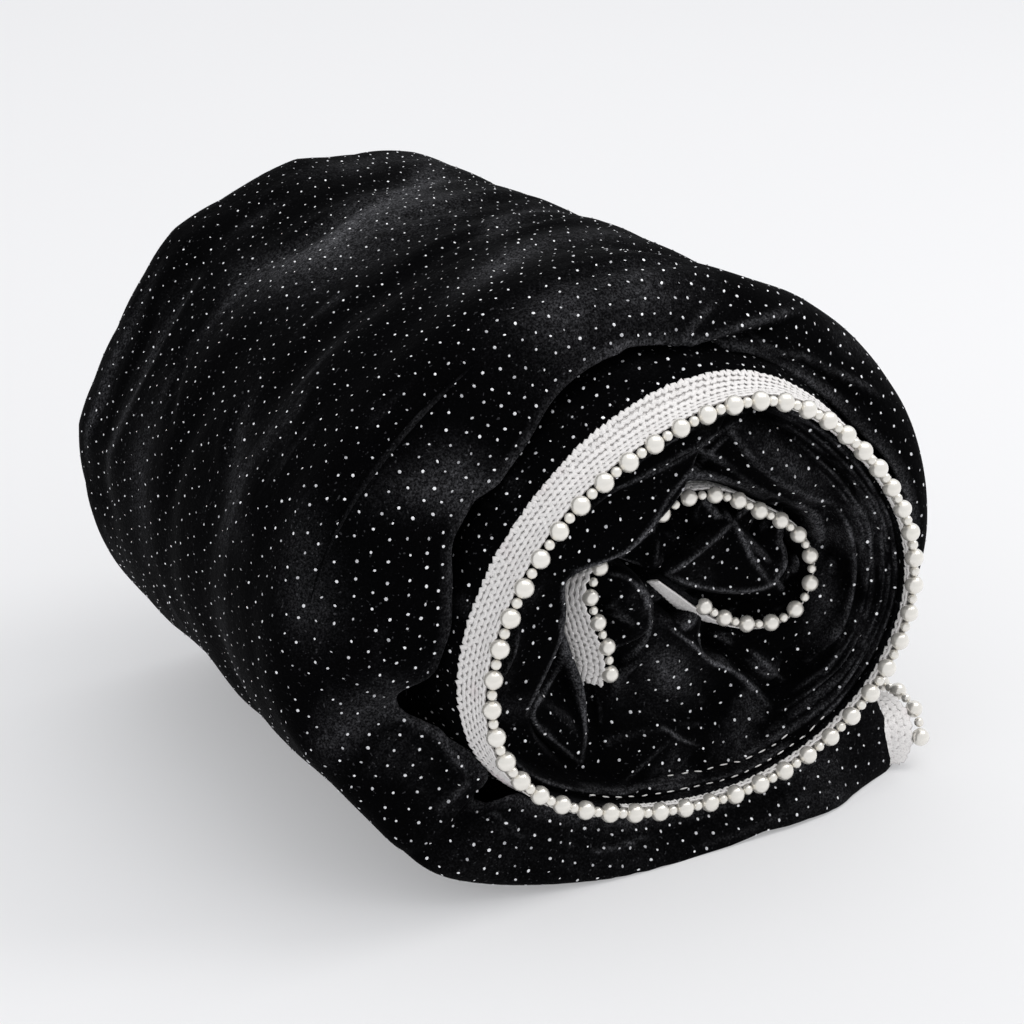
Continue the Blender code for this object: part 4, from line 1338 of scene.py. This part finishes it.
def calc(tree, operation, a, b, clamp=False):
    """One sum of two values."""
    made = tree.nodes.new("ShaderNodeMath")
    made.operation = operation
    made.use_clamp = clamp
    for socket, value in ((made.inputs[0], a), (made.inputs[1], b)):
        if isinstance(value, (int, float)):
            socket.default_value = value
        else:
            tree.links.new(value, socket)
    return made.outputs["Value"]


def blend_colour(tree, factor, a, b):
    """Colour between two, by a factor."""
    made = tree.nodes.new("ShaderNodeMix")
    made.data_type = "RGBA"
    tree.links.new(factor, made.inputs["Factor"])
    for socket, value in ((made.inputs["A"], a), (made.inputs["B"], b)):
        if isinstance(value, tuple):
            socket.default_value = (*value, 1.0)
        else:
            tree.links.new(value, socket)
    return made.outputs["Result"]


def bump(tree, height, distance, strength):
    """Normal of a fine relief."""
    made = tree.nodes.new("ShaderNodeBump")
    settle(made, {"Distance": distance, "Strength": strength})
    tree.links.new(height, made.inputs["Height"])
    return made.outputs["Normal"]


def velvet_group():
    """Colour and nap of black velvet: deep black pile, with grainy grey painted sheen where marked and in
    streaky patches, and a few pale dust flecks.
    """
    tree = bpy.data.node_groups.new("velvet_pile_painted_sheen", "ShaderNodeTree")
    for name, way, kind in (("Place", "INPUT", "NodeSocketVector"), ("Streaks", "INPUT", "NodeSocketVector"),
                            ("Painted_Sheen", "INPUT", "NodeSocketFloat"), ("Colour", "OUTPUT", "NodeSocketColor"),
                            ("Normal", "OUTPUT", "NodeSocketVector")):
        tree.interface.new_socket(name, in_out=way, socket_type=kind)
    given = tree.nodes.new("NodeGroupInput").outputs
    made = tree.nodes.new("NodeGroupOutput").inputs
    grain = noise_node(tree, given["Place"], 1500.0, 3.0, 0.7)
    coarse = noise_node(tree, given["Place"], 420.0, 2.0, 0.6)
    streak = noise_node(tree, given["Streaks"], 1.0, 3.0, 0.55, 0.3)
    patch = noise_node(tree, given["Place"], 22.0, 2.0, 0.5)
    # Painted sheen in streaky patches.
    painted_sheen_band = calc(tree, "MULTIPLY", ranged(tree, streak, 0.50, 0.74, 0.0, 0.22),
                ranged(tree, patch, 0.42, 0.66))
    speck = calc(tree, "MULTIPLY", ranged(tree, grain, 0.38, 0.72, 0.15, 1.9),
                 ranged(tree, coarse, 0.3, 0.7, 0.55, 1.25))
    dust = ranged(tree, noise_node(tree, given["Place"], 1100.0, 0.0), 0.75, 0.82, 0.0, 0.25)
    painted_sheen = calc(tree, "MULTIPLY", calc(tree, "ADD", given["Painted_Sheen"], painted_sheen_band), speck)
    pale = calc(tree, "ADD", painted_sheen, dust, True)
    base = blend_colour(tree, ranged(tree, grain, 0.5, 0.8),
                        (0.0008, 0.0008, 0.0010), (0.0030, 0.0030, 0.0036))
    # Black pile lifted to grey by the painted sheen and the dust.
    tree.links.new(blend_colour(tree, pale, base, (0.125, 0.125, 0.134)), made["Colour"])
    height = calc(tree, "ADD", calc(tree, "MULTIPLY", grain, 0.5), coarse)
    tree.links.new(bump(tree, height, 0.0006, 0.55), made["Normal"])
    return tree


def velvet_finish(name, group, streak_scale):
    """Black velvet whose painted sheen streaks run along the axis with the smallest scale."""
    made, tree, shader, place = material(name)
    painted_pile_sheen = tree.nodes.new("ShaderNodeGroup")
    painted_pile_sheen.node_tree = group
    tree.links.new(place, painted_pile_sheen.inputs["Place"])
    tree.links.new(stretch(tree, place, streak_scale), painted_pile_sheen.inputs["Streaks"])
    # Painted sheen mark of each point, read from the mesh.
    painted_sheen = tree.nodes.new("ShaderNodeAttribute")
    painted_sheen.attribute_name = "painted_pile_sheen"
    tree.links.new(painted_sheen.outputs["Fac"], painted_pile_sheen.inputs["Painted_Sheen"])
    tree.links.new(painted_pile_sheen.outputs["Colour"], shader.inputs["Base Color"])
    tree.links.new(painted_pile_sheen.outputs["Normal"], shader.inputs["Normal"])
    settle(shader, {"Roughness": 0.9, "Specular IOR Level": 0.02, "Sheen Weight": 0.02,
                    "Sheen Roughness": 0.30, "Sheen Tint": (0.62, 0.62, 0.66, 1.0)})
    return made


def braid_finish():
    """Off-white knitted yarn with a few pinkish threads."""
    made, tree, shader, place = material("braid_white_yarn")
    shade = noise_node(tree, place, 160.0, 2.0, 0.5)
    fibre = noise_node(tree, place, 1900.0, 2.0, 0.6)
    pink = noise_node(tree, place, 60.0, 1.0, 0.5)
    pale = blend_colour(tree, shade, (0.84, 0.81, 0.79), (0.95, 0.93, 0.915))
    tinted = blend_colour(tree, ranged(tree, pink, 0.62, 0.75, 0.0, 0.4), pale, (0.86, 0.73, 0.74))
    # Greyer where the fine fibre relief is low: painted shade in the hollows between fibres.
    dark = blend_colour(tree, ranged(tree, fibre, 0.28, 0.5, 0.55, 0.0), tinted, (0.52, 0.50, 0.50))
    tree.links.new(dark, shader.inputs["Base Color"])
    settle(shader, {"Roughness": 0.7, "Sheen Weight": 0.15})
    tree.links.new(bump(tree, fibre, 0.0002, 0.6), shader.inputs["Normal"])
    return made


def pearl_finish():
    """Cream pearl with a soft lustre under a glossy coat."""
    made, tree, shader, place = material("pearl_cream_lustre")
    cloud = noise_node(tree, place, 130.0, 2.0, 0.5)
    colour = blend_colour(tree, cloud, (0.84, 0.80, 0.725), (0.94, 0.915, 0.86))
    tree.links.new(colour, shader.inputs["Base Color"])
    settle(shader, {"Metallic": 0.48, "Roughness": 0.24, "Specular IOR Level": 0.8, "Coat Weight": 1.0,
                    "Coat Roughness": 0.09, "Coat IOR": 1.6})
    tree.links.new(bump(tree, cloud, 0.00008, 0.3), shader.inputs["Normal"])
    return made


def glitter_finish():
    """Silver glitter, some dots duller than others."""
    made, tree, shader, place = material("glitter_silver")
    tone = noise_node(tree, place, 240.0, 1.0, 0.5)
    shine = ranged(tree, tone, 0.3, 0.65)
    colour = blend_colour(tree, shine, (0.42, 0.42, 0.44), (0.93, 0.93, 0.95))
    tree.links.new(colour, shader.inputs["Base Color"])
    settle(shader, {"Metallic": 0.25, "Roughness": 0.38})
    return made


def floor_finish():
    """Plain pale paper floor with a faint glow, painted light that lightens the shadows on it."""
    made, tree, shader, place = material("studio_floor")
    tone = noise_node(tree, place, 3.0, 1.0, 0.4)
    colour = blend_colour(tree, tone, (0.575, 0.575, 0.58), (0.585, 0.585, 0.59))
    tree.links.new(colour, shader.inputs["Base Color"])
    # The emission is painted light, a glow that lifts the shadows on the floor.
    settle(shader, {"Roughness": 0.85, "Specular IOR Level": 0.1,
                    "Emission Color": (0.985, 0.985, 1.0, 1.0), "Emission Strength": 0.30})
    return made


# Camera, floor and lights.
def aim(item, target):
    """Point a camera or light at a place."""
    way = Vector(target) - item.location
    item.rotation_euler = way.to_track_quat("-Z", "Y").to_euler()


def make_camera():
    """Camera at the photo's angle, from the front left and above."""
    target = Vector(CAMERA_TARGET)
    data = bpy.data.cameras.new("camera")
    data.sensor_width = CAMERA_SENSOR
    data.lens = CAMERA_LENS
    data.clip_start = 0.05
    data.clip_end = 30.0
    camera = add_object("camera", data)
    camera.location = target + Vector(towards_eye()) * CAMERA_REACH
    aim(camera, target)
    bpy.context.scene.camera = camera


def make_light(name, place, target, size, power, colour):
    """A soft rectangular light."""
    data = bpy.data.lights.new(name, "AREA")
    data.shape = "RECTANGLE"
    data.size = size[0]
    data.size_y = size[1]
    data.energy = power
    data.color = colour
    light = add_object(name, data)
    light.location = place
    aim(light, target)


def make_studio():
    """Pale floor under soft light, with the key from the right."""
    shape = bmesh.new()
    bmesh.ops.create_grid(shape, x_segments=8, y_segments=8, size=6.0)
    mesh = bpy.data.meshes.new("floor")
    shape.to_mesh(mesh)
    shape.free()
    mesh.materials.append(floor_finish())
    floor = add_object("floor", mesh)
    make_light("key", (0.85, -0.3, 1.2), (0, 0, 0.06), (0.4, 0.4), 4.2, (1.0, 0.985, 0.965))
    make_light("top", (0.2, -0.1, 1.8), (0, 0, 0.0), (1.6, 1.6), 7.0, (1.0, 1.0, 1.0))
    world = bpy.data.worlds.new("studio")
    world.use_nodes = True
    settle(world.node_tree.nodes["Background"], {"Color": (0.97, 0.98, 1.0, 1.0), "Strength": 0.80})
    scene = bpy.context.scene
    scene.world = world
    scene.view_settings.view_transform = "Standard"
    scene.view_settings.look = "None"


def build():
    """The studio, the finishes, and the pieces from the outside in."""
    make_camera()
    make_studio()
    group = velvet_group()
    velvet = velvet_finish("velvet_black_pile", group, (14.0, 75.0, 14.0))
    velvet_inside = velvet_finish("velvet_black_folds", group, (40.0, 14.0, 40.0))
    braid = braid_finish()
    pearl = pearl_finish()
    glitter = glitter_finish()
    forms = (sphere_form("pearl_form", 24, 14), sphere_form("seed_form", 14, 8))
    finishes = (velvet_inside, braid, pearl)

    outer, outer_face = make_outer_turn(velvet)
    second, second_face = make_second_turn(velvet_inside)
    ring_border = make_ring_border(braid, pearl, forms)
    folds, folds_face = make_inner_folds(velvet_inside)
    loop = make_edge_ply("loop", LOOP_ROWS, LOOP_TAIL_ROWS, 1.0, LOOP_LEANS, finishes, forms,
                         ("loop_turn", "loop_tape", "loop_pearls"), 0.3)
    stitches = make_stitches(folds_face, braid)
    short = make_edge_ply("short_end", END_ROWS, END_TAIL_ROWS, -1.0, END_LEANS, finishes, forms,
                          ("short_turn", "short_tape", "short_pearls"))
    hidden = make_hidden_turns(velvet_inside)
    layers, layers_face = make_back_layers(velvet_inside)
    flap, flap_face = make_end_flap(velvet)
    hem_braid, hem_beads = make_hem(braid, pearl, forms)
    dots = make_dots("glitter_dots", [
        dot_places(outer_face, True, 1, keep=lambda p, n: p[2] > 1.5),
        dot_places(second_face, True, 2),
        dot_places(flap_face, True, 3, keep=lambda p, n: p[2] > 1.5 and n[0] > 0.1),
        fold_dots(folds_face, 4),
        dot_places(layers_face, True, 5, 5.4, 6.4, keep=lambda p, n: abs(n[1]) > 0.35),
    ], glitter)


build()
